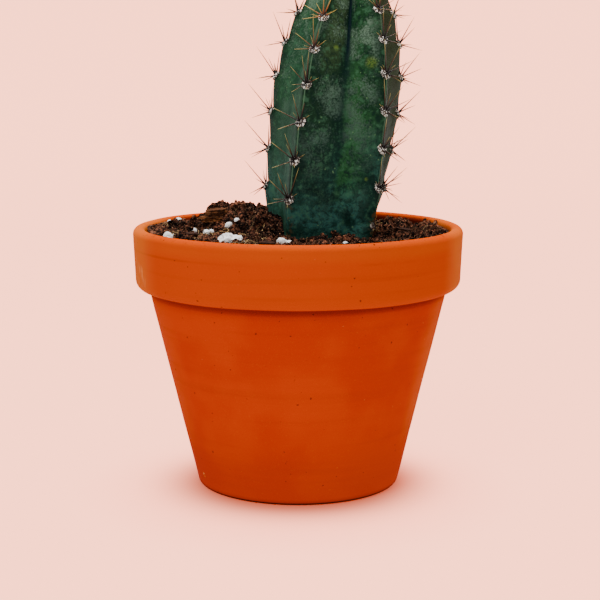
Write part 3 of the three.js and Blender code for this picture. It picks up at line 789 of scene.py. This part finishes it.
def stem_rule():
    """The tree that moves points, known by their rib and their count of areoles from the tip, to the skin."""
    stem = ShapeTree("ribbed_stem", {**STEM_SIZES, "Finish": skin_finish()})
    rib, count, phase, swell, drift = map(stem.attribute, ("rib", "count", "phase", "swell", "drift"))
    # How far down the crest the point lies: the areoles stand closer towards the tip.
    shifted = count + phase * count.rise(0, 1) * count.fall(9, 10.4)
    relax, head_start = stem["Spacing relax"], 0.3
    loosened = ((shifted + head_start) * -1 / relax).math("EXPONENT")
    crowded = ((relax ** -1) * -head_start).math("EXPONENT") - loosened
    grown_part = stem["First areole"] + stem["Areole spacing"] * (shifted - relax * crowded)
    tip_part = stem["First areole"] * (1 + shifted)
    distance = tip_part.towards(grown_part, shifted.above(0))
    # The crest: a quarter of an ellipse, then straight down, then drawn in underground.
    quarter = stem.field("GeometryNodeCurveArc", {
        "Resolution": 400, "Radius": 1.0, "Start Angle": math.pi / 2, "Sweep Angle": -math.pi / 2,
    })
    shape = stem.vector(stem["Radius"], stem["Dome height"], 1)
    crest = stem.field("GeometryNodeTransform", {"Geometry": quarter, "Scale": shape})
    dome_length = stem.field("GeometryNodeCurveLength", {0: crest})
    dome = stem.field(
        "GeometryNodeSampleCurve", {"Curves": crest, "Length": distance}, "Position",
        mode="LENGTH", use_all_curves=True,
    )
    dome_start = stem["Height"] - stem["Dome height"]
    past_dome = distance.above(dome_length)
    height = (dome_start + dome.axis(1)).towards(dome_start - (distance - dome_length), past_dome)
    buried = ((stem["Stump start"] - height) / (stem["Stump start"] + stem["Stump depth"])).clamped()
    drawn_in = stem["Radius"] * (1 - stem["Stump taper"] * buried * buried).math("SQRT")
    radius = dome.axis(0).towards(drawn_in, past_dome)
    # The section: flat faces between blunt crests, hollowed to a furrow higher up.
    share = height / stem["Height"]
    to_furrow = (rib - rib.math("ROUND")).math("ABSOLUTE") * 2
    round_part = stem["Crest round"]
    blunted = (to_furrow * to_furrow + round_part * round_part).math("SQRT") - round_part * (1 - to_furrow)
    half_rib = math.pi / RIB_COUNT
    flat_face = math.cos(half_rib) * (((1 - blunted.clamped()) * half_rib).math("COSINE") ** -1)
    depth = stem["Furrow at base"].towards(stem["Furrow at top"], share.rise(0.42, 0.9))
    furrow = depth * (share * 2.5 + 1).clamped() * to_furrow ** 1.5
    swelling = 1 + swell * (1 - share / 0.55).clamped() ** 1.5
    # The chin under each areole: the crest steps out there and falls back to nothing above the next one.
    chin_rise = stem["Chin start"] + stem["Chin end"]
    below = (count + stem["Chin start"]).math("FRACT")
    chin = (below / chin_rise).math("MINIMUM", (1 - below) / (1 - chin_rise)) * stem["Chin height"]
    chin = chin * count.above(0.4999) * (to_furrow.fall(0, 0.55) * radius.rise(0, 6))
    skin = radius * flat_face * (1 - furrow) * swelling + chin + stem["Outset"]
    reach = skin.math("MAXIMUM", 0) * stem.attribute("girth")
    in_dimple = reach / stem["Dimple radius"]
    dimple = stem["Crown dimple"] * (in_dimple * in_dimple * -1).math("EXPONENT")
    turn = (rib * (360 / RIB_COUNT) + FIRST_RIB_ANGLE + drift * (share - 0.5)).math("RADIANS")
    place = stem.vector(
        stem["Lean"] * height + reach * turn.math("SINE") + PLANT_PLACE[0],
        reach * turn.math("COSINE") * -1 + PLANT_PLACE[1],
        height - dimple + PLANT_PLACE[2],
    )
    uneven = stem.waves(7, 2) + stem.waves(1.6, 0.5)
    stem.end(stem.pushed(stem.moved(stem["Geometry"], Position=place), uneven * stem["Unevenness"]))
    return stem


def stem_mesh(name, rib, count, faces=(), girth=None):
    rib, count = np.asarray(rib, float), np.asarray(count, float)
    by_rib = {"phase": RIB_PHASE, "swell": RIB_SWELL, "drift": RIB_DRIFT}
    return mesh_of(
        name, np.column_stack([rib, count, np.zeros(len(rib))]), faces,
        rib=rib, count=count, across=2 * np.abs(rib - np.round(rib)),
        girth=np.ones(len(rib)) if girth is None else girth,
        **{key: across_ribs(values, rib) for key, values in by_rib.items()},
    )


def skin_points(rib, count, **changed):
    """Places on the stem's skin, by the same rule, perhaps with sizes changed."""
    probe = STEM_RULE.grown("probe", stem_mesh("probe", rib, count), **changed)
    points = np.array([tuple(vertex.co) for vertex in probe.data.vertices])
    bpy.data.objects.remove(probe)
    return points


def build_stem():
    """The stem, with its points closer together near the crests, and a pole at the tip and at the foot."""
    share = np.arange(STEM_COLUMNS) / STEM_COLUMNS
    once, twice = (np.sin(turns * FULL_TURN * share) / (turns * FULL_TURN) for turns in (1, 2))
    spread = share + 0.3 * twice - 0.45 * once
    ribs = (np.arange(RIB_COUNT)[:, None] + spread[None, :]).ravel()
    counts = np.arange(-0.96, LAST_COUNT, STEM_ROW)
    columns, rows = len(ribs), len(counts)
    rib = np.concatenate([[0], np.tile(ribs, rows), [0]])
    count = np.concatenate([[-1], np.repeat(counts, columns), [LAST_COUNT]])
    girth = np.ones(len(rib))
    girth[[0, -1]] = 0
    mesh = stem_mesh("stem", rib, count, ring_faces(columns, rows), girth)
    finish_piece(STEM_RULE.grown("stem", mesh, Unevenness=0.12), "cactus_skin", "cactus")


# ---------------- areoles and spines

def find_areoles():
    """Each areole above the soil: its middle, axis, the way up along the rib, sideways, and its size."""
    rib, index = np.divmod(np.arange(RIB_COUNT * AREOLES_PER_RIB), AREOLES_PER_RIB)
    middle = skin_points(rib, index)
    chinless = {"Chin height": 0.0}
    above = skin_points(rib, index - AREOLE_REACH, **chinless)
    below = skin_points(rib, index + AREOLE_REACH, **chinless)
    out = middle - PLANT_PLACE
    out[:, 0] -= STEM_SIZES["Lean"] * out[:, 2]
    out[:, 2] = 0
    rise = unit(above - below)
    sideways = unit(np.cross(rise, unit(out)))
    axis = unit(np.cross(sideways, rise))
    young = index < YOUNG_AREOLES
    tilt = np.radians(np.where(young, 0, AREOLE_TILT))[:, None]
    clear = middle[:, 2] - np.array([float(soil_height(x, y)) for x, y in middle[:, :2]])
    sunk = clear < SUNK_BELOW
    found = {
        "rib": rib, "index": index, "middle": middle, "young": young, "sunk": sunk, "sideways": sideways,
        "axis": axis * np.cos(tilt) + rise * np.sin(tilt),
        "rise": rise * np.cos(tilt) - axis * np.sin(tilt),
        "size": (0.55 + 0.45 * np.clip(index / 3, 0, 1)) * np.where(sunk, 0.75, 1),
    }
    return [{key: value[i] for key, value in found.items()} for i in np.flatnonzero(clear > LEAST_CLEAR)]


def spine_direction(areole, tilt, turn):
    tilt, turn = math.radians(tilt), math.radians(turn)
    aside = areole["rise"] * math.cos(turn) + areole["sideways"] * math.sin(turn)
    return areole["axis"] * math.cos(tilt) + aside * math.sin(tilt)


def spines_of(areole):
    """Root, direction and length of each spine: radials all round, one long central, small ones between."""
    draw = random_from(int(1 + areole["rib"] * AREOLES_PER_RIB + areole["index"]))
    young = areole["young"]
    radial_tilt = TUFT_TILT if young else RADIAL_TILT
    wool_top = areole["middle"] + areole["axis"] * SPINE_SEAT * AREOLE_THICKNESS * areole["size"]
    length_share = 0.8 + 0.2 * areole["size"]
    short_side = SHORT_SIDE.get(areole["rib"], 0)
    spines = []

    def add_spine(tilt, turn, length, spread=SPINE_SPREAD):
        root = wool_top + spine_direction(areole, 90, turn) * spread * areole["size"]
        if not young and short_side * math.sin(math.radians(turn)) > SHORT_FROM:
            length *= SHORT_SHARE
        if areole["sunk"]:
            length *= WORN_SHARE
        spines.append((root, spine_direction(areole, tilt, turn), length))

    for i in range(RADIAL_SPINES):
        turn = i * 360 / RADIAL_SPINES + swing(draw, 12)
        tilt = radial_tilt + swing(draw, 8)
        length = RADIAL_LENGTH * between(draw, 0.78, 1.2) * length_share
        add_spine(tilt, turn, length if young else length * (0.9 + 0.15 * math.cos(math.radians(turn))))
    if not young:
        turn = swing(draw, 25)
        add_spine(CENTRAL_TILT, turn, CENTRAL_LENGTH * between(draw, 0.88, 1), spread=0)
    for i in range(SMALL_SPINES):
        turn = (i + 0.5) * 360 / SMALL_SPINES + swing(draw, 25)
        tilt = radial_tilt + between(draw, -16, 6)
        add_spine(tilt, turn, RADIAL_LENGTH * between(draw, 0.3, 0.62) * length_share)
    return spines


def rods(name, lines, finish, sides):
    """Lines turned into round rods of the thickness stored at their points."""
    rod = ShapeTree(name + "_rods", {"Sides": sides, "Thickness": 1.0, "Finish": finish})
    swept = rod.field("GeometryNodeCurveToMesh", {
        "Curve": rod.curve(rod["Geometry"]), "Profile Curve": rod.circle(rod["Sides"], 1.0),
        "Scale": rod.attribute("thickness") * rod["Thickness"], "Fill Caps": True,
    })
    rod.end(swept)
    return rod.grown(name, lines)


def build_spines(areoles):
    """Spines that bend a little. Those that would run into the soil are left out."""
    lines, thickness, young = [], [], []
    draw = random_from(SPINE_SEED)
    steps = SPINE_STEPS[:, None]
    for areole in areoles:
        count = areole["index"] - LATE_TUFTS.get(areole["rib"], 0)
        youth = 1 - float(smoothstep(*YOUTH_FADES, count))
        for root, direction, length in spines_of(areole):
            whole = length + SPINE_ROOT
            bow = np.cross(direction, [swing(draw, 1) for _ in range(3)])
            start = root - direction * SPINE_ROOT
            bend = between(draw, 0.0, MOST_BEND) * whole
            line = start + direction * whole * steps + bow * bend * steps * steps
            ground = np.array([soil_height(x, y) for x, y in line[:, :2]])
            if (line[3:, 2] < ground[3:] - 0.5).any():
                continue
            lines.append(line)
            thickness.append(SPINE_THICKNESS * min(1, 0.62 + 0.04 * length))
            young.append(np.full(len(SPINE_STEPS), youth))
    mesh = lines_mesh("spines", lines, thickness=thickness, along=[SPINE_STEPS] * len(lines), young=young)
    finish_piece(rods("spines", mesh, spine_finish(), 6), "spine")


def build_wool(areoles):
    """A rounded pad of wool on each areole, with short hairs standing out of it."""
    stored = {key: [areole[key] for areole in areoles] for key in ("axis", "rise", "size")}
    points = mesh_of("areoles", [areole["middle"] for areole in areoles], **stored)
    wool = ShapeTree("wool_pads", {
        "Pad radius": AREOLE_RADIUS, "Pad thickness": PAD_SHARE * AREOLE_THICKNESS,
        "Hair length": 0.4, "Hair thickness": 0.06, "Hairs": 3.0, "Seed": 5, "Finish": wool_finish(),
    })
    axis, rise = (wool.attribute(name, "FLOAT_VECTOR") for name in ("axis", "rise"))
    axes = {"primary_axis": "Z", "secondary_axis": "X"}
    turned = wool.field("FunctionNodeAxesToRotation", {0: axis, 1: rise}, **axes)
    size = wool.attribute("size")
    width = size * wool["Pad radius"]
    scale = wool.vector(width, width, size * wool["Pad thickness"])
    pads = wool.realized(wool.copies(wool["Geometry"], wool.ball(4), turned, scale))
    soft = wool.pushed(pads, wool.waves(0.9, 0.6))
    roots = wool.strewn(soft, wool["Hairs"], wool["Seed"])
    hair = wool.field("GeometryNodeMeshCone", {
        "Vertices": 3, "Radius Top": wool["Hair thickness"] * 0.3, "Radius Bottom": wool["Hair thickness"],
        "Depth": wool["Hair length"],
    })
    askew = wool.random_turn((-0.7,) * 3, (0.7,) * 3, 8)
    leaning = wool.field(
        "FunctionNodeRotateRotation", {0: roots.outputs["Rotation"], 1: askew}, rotation_space="LOCAL"
    )
    both = wool.add("GeometryNodeJoinGeometry", {0: wool.copies(roots.outputs[0], hair, leaning)})
    wool.feed(both.inputs[0], soft)
    wool.end(both.outputs[0])
    finish_piece(wool.grown("areole_wool", points), "areole_wool")


# ---------------- soil

def near(x, y, other_x, other_y, limit):
    return math.hypot(x - other_x, y - other_y) < limit


def scatter(seed, count, low, high, taken, heap=None):
    """The solids' places of grains and clods: clear of the wall, of the stem and of those already there."""
    draw = random_from(seed)
    places = []
    tries = 0
    while len(places) < count and tries < MOST_TRIES * count:
        tries += 1
        radius = between(draw, low, high)
        room = float(cavity_radius(SOIL_LEVEL - radius)) - FIT_GAP - WALL_CLEARANCE * radius
        out = math.sqrt(draw()) * room
        x, y = polar(out, draw() * FULL_TURN)
        off_heap = heap and math.hypot((x - heap[0]) / heap[2], (y - heap[1]) / heap[3]) > HEAP_REACH
        near_stem = near(x, y, *PLANT_PLACE[:2], STEM_RADIUS * STEM_CLEARANCE)
        crowded = any(near(x, y, a, b, CLOSEST * (radius + r)) for a, b, r in taken + places)
        if not (near_stem or crowded or off_heap):
            places.append((x, y, radius))
    return places


def soil_places():
    """Perlite, bark and clods, in the solids' order."""
    seen_bark = [(x, y, width / 2) for x, y, _, width, _, _ in SEEN_BARK]
    scattered = scatter(*SCATTERED["perlite"], SEEN_PERLITE + seen_bark)
    perlite = SEEN_PERLITE + scattered
    more_bark = scatter(*SCATTERED["bark"], perlite + seen_bark)
    bark = SEEN_BARK + [(x, y, 2.6 * r, 1.7 * r, 1.8, 67 * i) for i, (x, y, r) in enumerate(more_bark)]
    taken = perlite + [(x, y, width / 2) for x, y, _, width, _, _ in bark]
    heaped = [place for rule, heap in zip(HEAPED_CLODS, HEAPS) for place in scatter(*rule, taken, heap)]
    clods = heaped + scatter(*SCATTERED["clods"], taken + heaped)
    # Clods are small beside the grains that show, so that these stay clear of them.
    clods = [
        (x, y, r * (0.6 if any(near(x, y, a, b, SHRUNK_NEAR * (r + c)) for a, b, c in SEEN_PERLITE) else 1))
        for x, y, r in clods
    ]
    stained = [scattered[i] for i in STAINED_GRAINS]
    white = [grain for grain in scattered if grain not in stained]
    return SHOWN_PERLITE + white, bark, clods + stained + BASE_CLODS


def soil_bed_mesh():
    """The mix as it fills the pot: a pit that fits the stump, the top, and down the wall to the floor."""
    rib = np.arange(SOIL_COLUMNS) * RIB_COUNT / SOIL_COLUMNS
    counts = np.linspace(LAST_COUNT, MID_STEM, PROBE_ROWS)
    skin = skin_points(np.tile(rib, PROBE_ROWS), np.repeat(counts, SOIL_COLUMNS), Outset=PIT_GAP)
    skin = skin.reshape(PROBE_ROWS, SOIL_COLUMNS, 3)
    # The edge where the skin comes out of the soil
    over = skin[:, :, 2] - soil_height(skin[:, :, 0], skin[:, :, 1])
    emerges = np.argmax(over > 0, axis=0)
    here = np.arange(SOIL_COLUMNS)
    low, high = over[emerges - 1, here], over[emerges, here]
    share = (-low / (high - low))[:, None]
    edge = skin[emerges - 1, here] * (1 - share) + skin[emerges, here] * share
    rings, top = [], []

    def add_ring(points, on_top):
        rings.append(points)
        top.append(np.full(SOIL_COLUMNS, on_top))

    for i in range(PIT_ROWS):
        row = np.clip(i / PIT_ROWS * (emerges - 1), 0, None)
        whole = np.floor(row).astype(int)
        part = (row - whole)[:, None]
        add_ring(skin[whole, here] * (1 - part) + skin[whole + 1, here] * part, 0.0)
    # From that edge straight out to the wall
    flat_edge = edge[:, :2]
    outward = flat_edge - PLANT_PLACE[:2]
    direction = outward / np.linalg.norm(outward, axis=1)[:, None]
    wall = float(cavity_radius(SOIL_LEVEL)) - FIT_GAP
    along, squared = (np.einsum("ij,ij->i", flat_edge, other) for other in (direction, flat_edge))
    reach = -along + np.sqrt(along ** 2 - squared + wall ** 2)
    for i in range(TOP_ROWS + 1):
        t = i / TOP_ROWS
        flat = flat_edge + direction * (reach * t)[:, None]
        height = soil_height(flat[:, 0], flat[:, 1])
        if i == TOP_ROWS:
            flat = flat * ((cavity_radius(height) - FIT_GAP) / wall)[:, None]
        on_top = min(1.0, t * reach.min() / SMOOTH_RIM) * min(1.0, (1 - t) * WALL_RIM)
        add_ring(np.column_stack([flat, height]), on_top)
    wall_unit = flat / np.linalg.norm(flat, axis=1)[:, None]
    for radius, height in CAVITY[1:]:
        level = np.full(SOIL_COLUMNS, height + FIT_GAP)
        add_ring(np.column_stack([wall_unit * (radius - FIT_GAP), level]), 0.0)
    pit_pole, bottom_pole = skin[0].mean(axis=0), [0, 0, CAVITY[-1][1] + FIT_GAP]
    points = np.concatenate([[pit_pole], *rings, [bottom_pole]])
    values = np.concatenate([[0], *top, [0]])
    return mesh_of("soil_bed", points, ring_faces(SOIL_COLUMNS, len(rings)), top=values)


def build_soil(clod_places):
    """The soil's surface, roughened into lumps and grains, its clods, and the loose crumbs on both."""
    finish = soil_finish()
    soil = ShapeTree("rough_soil", {
        "Lump height": 2.6, "Grain height": 1.8, "Crease depth": 1.1, "Finish": finish,
    })
    lumps = soil.waves(4.5, soil["Lump height"])
    grains = soil.waves(1.2, soil["Grain height"], detail=3, roughness=0.65)
    creases = soil.veins(4.2, 0.05, detail=3) * soil["Crease depth"]
    lift = soil.vector(0, 0, (lumps + grains - creases) * soil.attribute("top"))
    soil.end(soil.moved(soil["Geometry"], Offset=lift))
    bed = soil.grown("soil_bed", soil_bed_mesh())
    clods = rough_lumps("soil_clods", clod_places, finish, 0.9, 1.0)
    for name, ground, seed in (("bed_crumbs", bed, 3), ("clod_crumbs", clods, 7)):
        finish_piece(loose_crumbs(name, ground.data.copy(), finish, seed), "potting_mix")
    finish_piece(bed, "potting_mix", "soil")
    finish_piece(clods, "potting_mix")


def loose_crumbs(name, ground, finish, seed):
    """Ragged crumbs strewn over the top of a surface, most of them small."""
    crumbs = ShapeTree("loose_crumbs", {
        "Crumbs": 0.88, "Smallest": 0.24, "Largest": 1.2, "Raggedness": 0.55, "Seed": seed,
        "Finish": finish,
    })
    on_top = crumbs.attribute("top").above(0.6)
    places = crumbs.strewn(crumbs["Geometry"], crumbs["Crumbs"] * on_top, crumbs["Seed"]).outputs[0]
    turn = crumbs.random_turn((0, 0, 0), (FULL_TURN,) * 3, 4)
    chance = crumbs.field("FunctionNodeRandomValue", {"Seed": 6}, 1, data_type="FLOAT")
    size = crumbs["Smallest"].towards(crumbs["Largest"], chance ** 3)
    scale = crumbs.vector(size * 1.3, size * 0.85, size * 0.65)
    placed = crumbs.realized(crumbs.copies(places, crumbs.ball(1), turn, scale))
    crumbs.end(crumbs.pushed(placed, crumbs.waves(0.7, crumbs["Raggedness"], detail=1)), smooth=False)
    return crumbs.grown(name, ground)


def rough_lumps(name, places, finish, flatness, roughness, lift=0.0):
    """A rough lump at each place, of the radius given with it, its middle this far above the soil."""
    x, y, radius = np.array(places, float).T
    points = mesh_of(name, np.column_stack([x, y, soil_height(x, y) + lift]), radius=radius)
    lumps = ShapeTree("rough_lumps", {
        "Fineness": 4, "Flatness": flatness, "Roughness": roughness, "Finish": finish,
    })
    size = lumps.attribute("radius")
    turn = lumps.random_turn((0, 0, 0), (0.4, 0.4, FULL_TURN), 9)
    scale = lumps.vector(size, size, size * lumps["Flatness"])
    placed = lumps.copies(lumps["Geometry"], lumps.ball(lumps["Fineness"]), turn, scale)
    sized = lumps.realized(lumps.with_value(placed, "size", size, "INSTANCE"))
    marked = lumps.with_value(sized, "top", 1.0, "POINT")
    big = lumps.waves(2.4, 0.8, detail=1)
    small = lumps.waves(0.9, 0.5, detail=3, roughness=0.65)
    facets = (lumps.cells(2.4) - 0.6) * 0.8
    push = (big + small + facets) * lumps["Roughness"] * lumps.attribute("size")
    lumps.end(lumps.pushed(marked, push), smooth=False)
    return lumps.grown(name, points)


def build_bark(bark):
    """Flakes of bark, each split into a few ragged layers."""
    draw = random_from(FLAKE_SEED)
    points, faces, layer_of, tones = [], [], [], []
    for number, (x, y, length, width, thickness, turn) in enumerate(bark):
        layers = max(2, round(thickness / FLAKE_LAYER))
        tilt = math.radians(swing(draw, FLAKE_TILT))
        base = float(soil_height(x, y)) + FLAKE_LIFT[min(number, 1)]
        turned = math.radians(turn)
        for layer in range(layers):
            size = between(draw, *FLAKE_SIZE) * (1.06 - 0.16 * layer / layers)    # smaller layers higher up
            shift_x, shift_y = (swing(draw, most) for most in FLAKE_SHIFT)
            outline = []
            for i in range(FLAKE_CORNERS):
                across, up = polar(size * between(draw, *FLAKE_RAGGED) / 2, i / FLAKE_CORNERS * FULL_TURN)
                outline.append((across * length + shift_x, up * width + shift_y))
            low = thickness * (layer / layers - 0.5)
            plate, plate_faces = prism(outline, low + FLAKE_GAP, low + thickness / layers - FLAKE_GAP)
            start = len(points)
            for px, py, pz in plate:
                points.append((
                    x + px * math.cos(turned) - py * math.sin(turned),
                    y + px * math.sin(turned) + py * math.cos(turned),
                    base + pz + px * math.sin(tilt) + swing(draw, FLAKE_ROUGHNESS),
                ))
            layer_of += [layer / (layers - 1)] * len(plate)
            tones += [min(number, 1)] * len(plate)
            faces += [tuple(start + corner for corner in face) for face in plate_faces]
    mesh = mesh_of("bark", points, faces, layer=layer_of, tone=tones)
    mesh.materials.append(bark_finish())
    finish_piece(add_object("bark_flakes", mesh), "bark")


def build_fibres():
    """Fine strands of peat and root lying on the soil, the pale ones mostly at the front left."""
    draw = random_from(STRAND_SEED)
    lines, thickness, pale = [], [], []
    while len(lines) < STRANDS:
        out = STRAND_STARTS * math.sqrt(draw())
        x, y = polar(out, draw() * FULL_TURN)
        heading = draw() * FULL_TURN
        curl = swing(draw, STRAND_CURL)
        step = between(draw, *STRAND_LENGTH) / STRAND_POINTS
        arch = between(draw, *STRAND_ARCH)
        line = []
        for i in range(STRAND_POINTS):
            rise = arch * math.sin(i / (STRAND_POINTS - 1) * math.pi) + STRAND_LIFT
            line.append((x, y, float(soil_height(x, y)) + rise))
            x += step * math.cos(heading)
            y += step * math.sin(heading)
            heading += curl + swing(draw, STRAND_WANDER)
        line = np.array(line)
        from_stem = np.hypot(*(line[:, :2] - PLANT_PLACE[:2]).T).min()
        from_middle = np.hypot(*line[:, :2].T).max()
        if from_stem < STRAND_FIELD[0] or from_middle > STRAND_FIELD[1]:
            continue
        lines.append(line)
        thickness.append(np.full(STRAND_POINTS, between(draw, *STRAND_RADIUS)))
        pale_share = PALE_SHARE[0 if (line[0, :2] < PALE_CORNER).all() else 1]
        paleness = between(draw, 0.3, 1) if draw() < pale_share else 0.15 * draw()
        pale.append(np.full(STRAND_POINTS, paleness))
    mesh = lines_mesh("strands", lines, thickness=thickness, pale=pale)
    finish_piece(rods("root_fibres", mesh, fibre_finish(), 4), "potting_mix")


# ---------------- the pieces

STEM_RULE = stem_rule()
build_pot()
build_stem()
areoles = find_areoles()
build_wool(areoles)
build_spines(areoles)
perlite, bark, clods = soil_places()
build_soil(clods)
grains = rough_lumps("perlite_grains", perlite, perlite_finish(), 0.85, 0.5, lift=PERLITE_LIFT)
finish_piece(grains, "perlite")
build_bark(bark)
build_fibres()


# ---------------- floor and light, in metres

SKY_LIGHT = 0.6
FLOOR_LIGHT = 1.4
FLOOR_SIDES = 96
FLOOR_FLAT = 1.0                # radius of its level part
FLOOR_BEND = 1.2
LAMPS = [    # name, place, height that it aims at, size, power, tint
    ("key", (-0.55, -1.05, 1.25), 0.08, 0.7, 10, (1, 1, 1)),
    ("fill", (0.9, -1.0, 0.8), 0.08, 1.0, 1.1, (1, 1, 1)),
    ("above", (0, 0.2, 1.5), 0, 0.6, 27, (1, 1, 1)),
    ("side", (1.0, 0.6, 0.4), 0.06, 0.7, 1.8, (1, 0.82, 0.7)),
]


def paper_finish():
    """Pale pink paper with a painted glow, an emission that stands in for light: dimmed near the pot as a
    painted shadow that reaches furthest in front, and brightest far from it.
    """
    paper = Finish("pale_paper", (0.35, 0.26, 0.17, 1), gloss=0.0, roughness=1.0)
    away = paper.place.vector_math("MULTIPLY", (1, 1, 0)).vector_math("ADD", (0, 4.5, 0)).length()
    # Painted shadow: the glow dims close to the pot's foot, centred a little in front of it
    painted_glow = paper.blend((3.9, 1.2, 0.79, 1), (0.7, 0.04, 0.0, 1), away.fall(29, 64) ** 2)
    painted_glow = paper.blend(painted_glow, (4.29, 1.42, 0.92, 1), away.rise(350, 1500))
    paper.feed(paper.shader["Emission Color"], painted_glow)
    paper.shader["Emission Strength"].default_value = 1.0
    return paper.done()


def build_floor():
    """A pale floor that curves up all round, far from the plant, so that it has no edge."""
    wide = FLOOR_FLAT + FLOOR_BEND
    profile = [(0.2, 0), (0.5, 0)] + arc(FLOOR_FLAT, FLOOR_BEND, FLOOR_BEND, -90, 0, 15) + [(wide, wide)]
    points = [(0, 0, 0)]
    for radius, height in profile:
        points += [(x, y, height) for x, y in arc(0, 0, radius, 0, 360, FLOOR_SIDES)[:-1]]
    mesh = mesh_of("floor", points, ring_faces(FLOOR_SIDES, len(profile), closed=False))
    mesh.materials.append(paper_finish())
    mesh.polygons.foreach_set("use_smooth", [True] * len(mesh.polygons))
    floor = add_object("floor", mesh)
    floor.visible_diffuse = False       # its glow lights nothing else
    floor.visible_glossy = False


def build_lamps():
    for name, place, aim_height, size, power, tint in LAMPS:
        light = bpy.data.lights.new(name, "AREA")
        light.shape = "DISK"
        light.size = size
        light.energy = power
        light.color = tint
        lamp = add_object(name, light)
        lamp.location = place
        aim = Vector((0, 0, aim_height)) - Vector(place)
        lamp.rotation_euler = aim.to_track_quat("-Z", "Y").to_euler()


def build_surroundings():
    """Soft light from all round, brighter from below, where a pale floor would throw it back."""
    world = bpy.data.worlds.new("studio")
    world.use_nodes = True
    sky = NodeTree(world.node_tree)
    downward = sky.field("ShaderNodeTexCoord", output="Generated").axis(2).fall(-0.25, 0.15)
    backdrop = world.node_tree.nodes["Background"].inputs
    sky.feed(backdrop["Strength"], SKY_LIGHT + downward * (FLOOR_LIGHT - SKY_LIGHT))
    backdrop["Color"].default_value = (1, 0.97, 0.95, 1)
    bpy.context.scene.world = world


build_floor()
build_lamps()
build_surroundings()
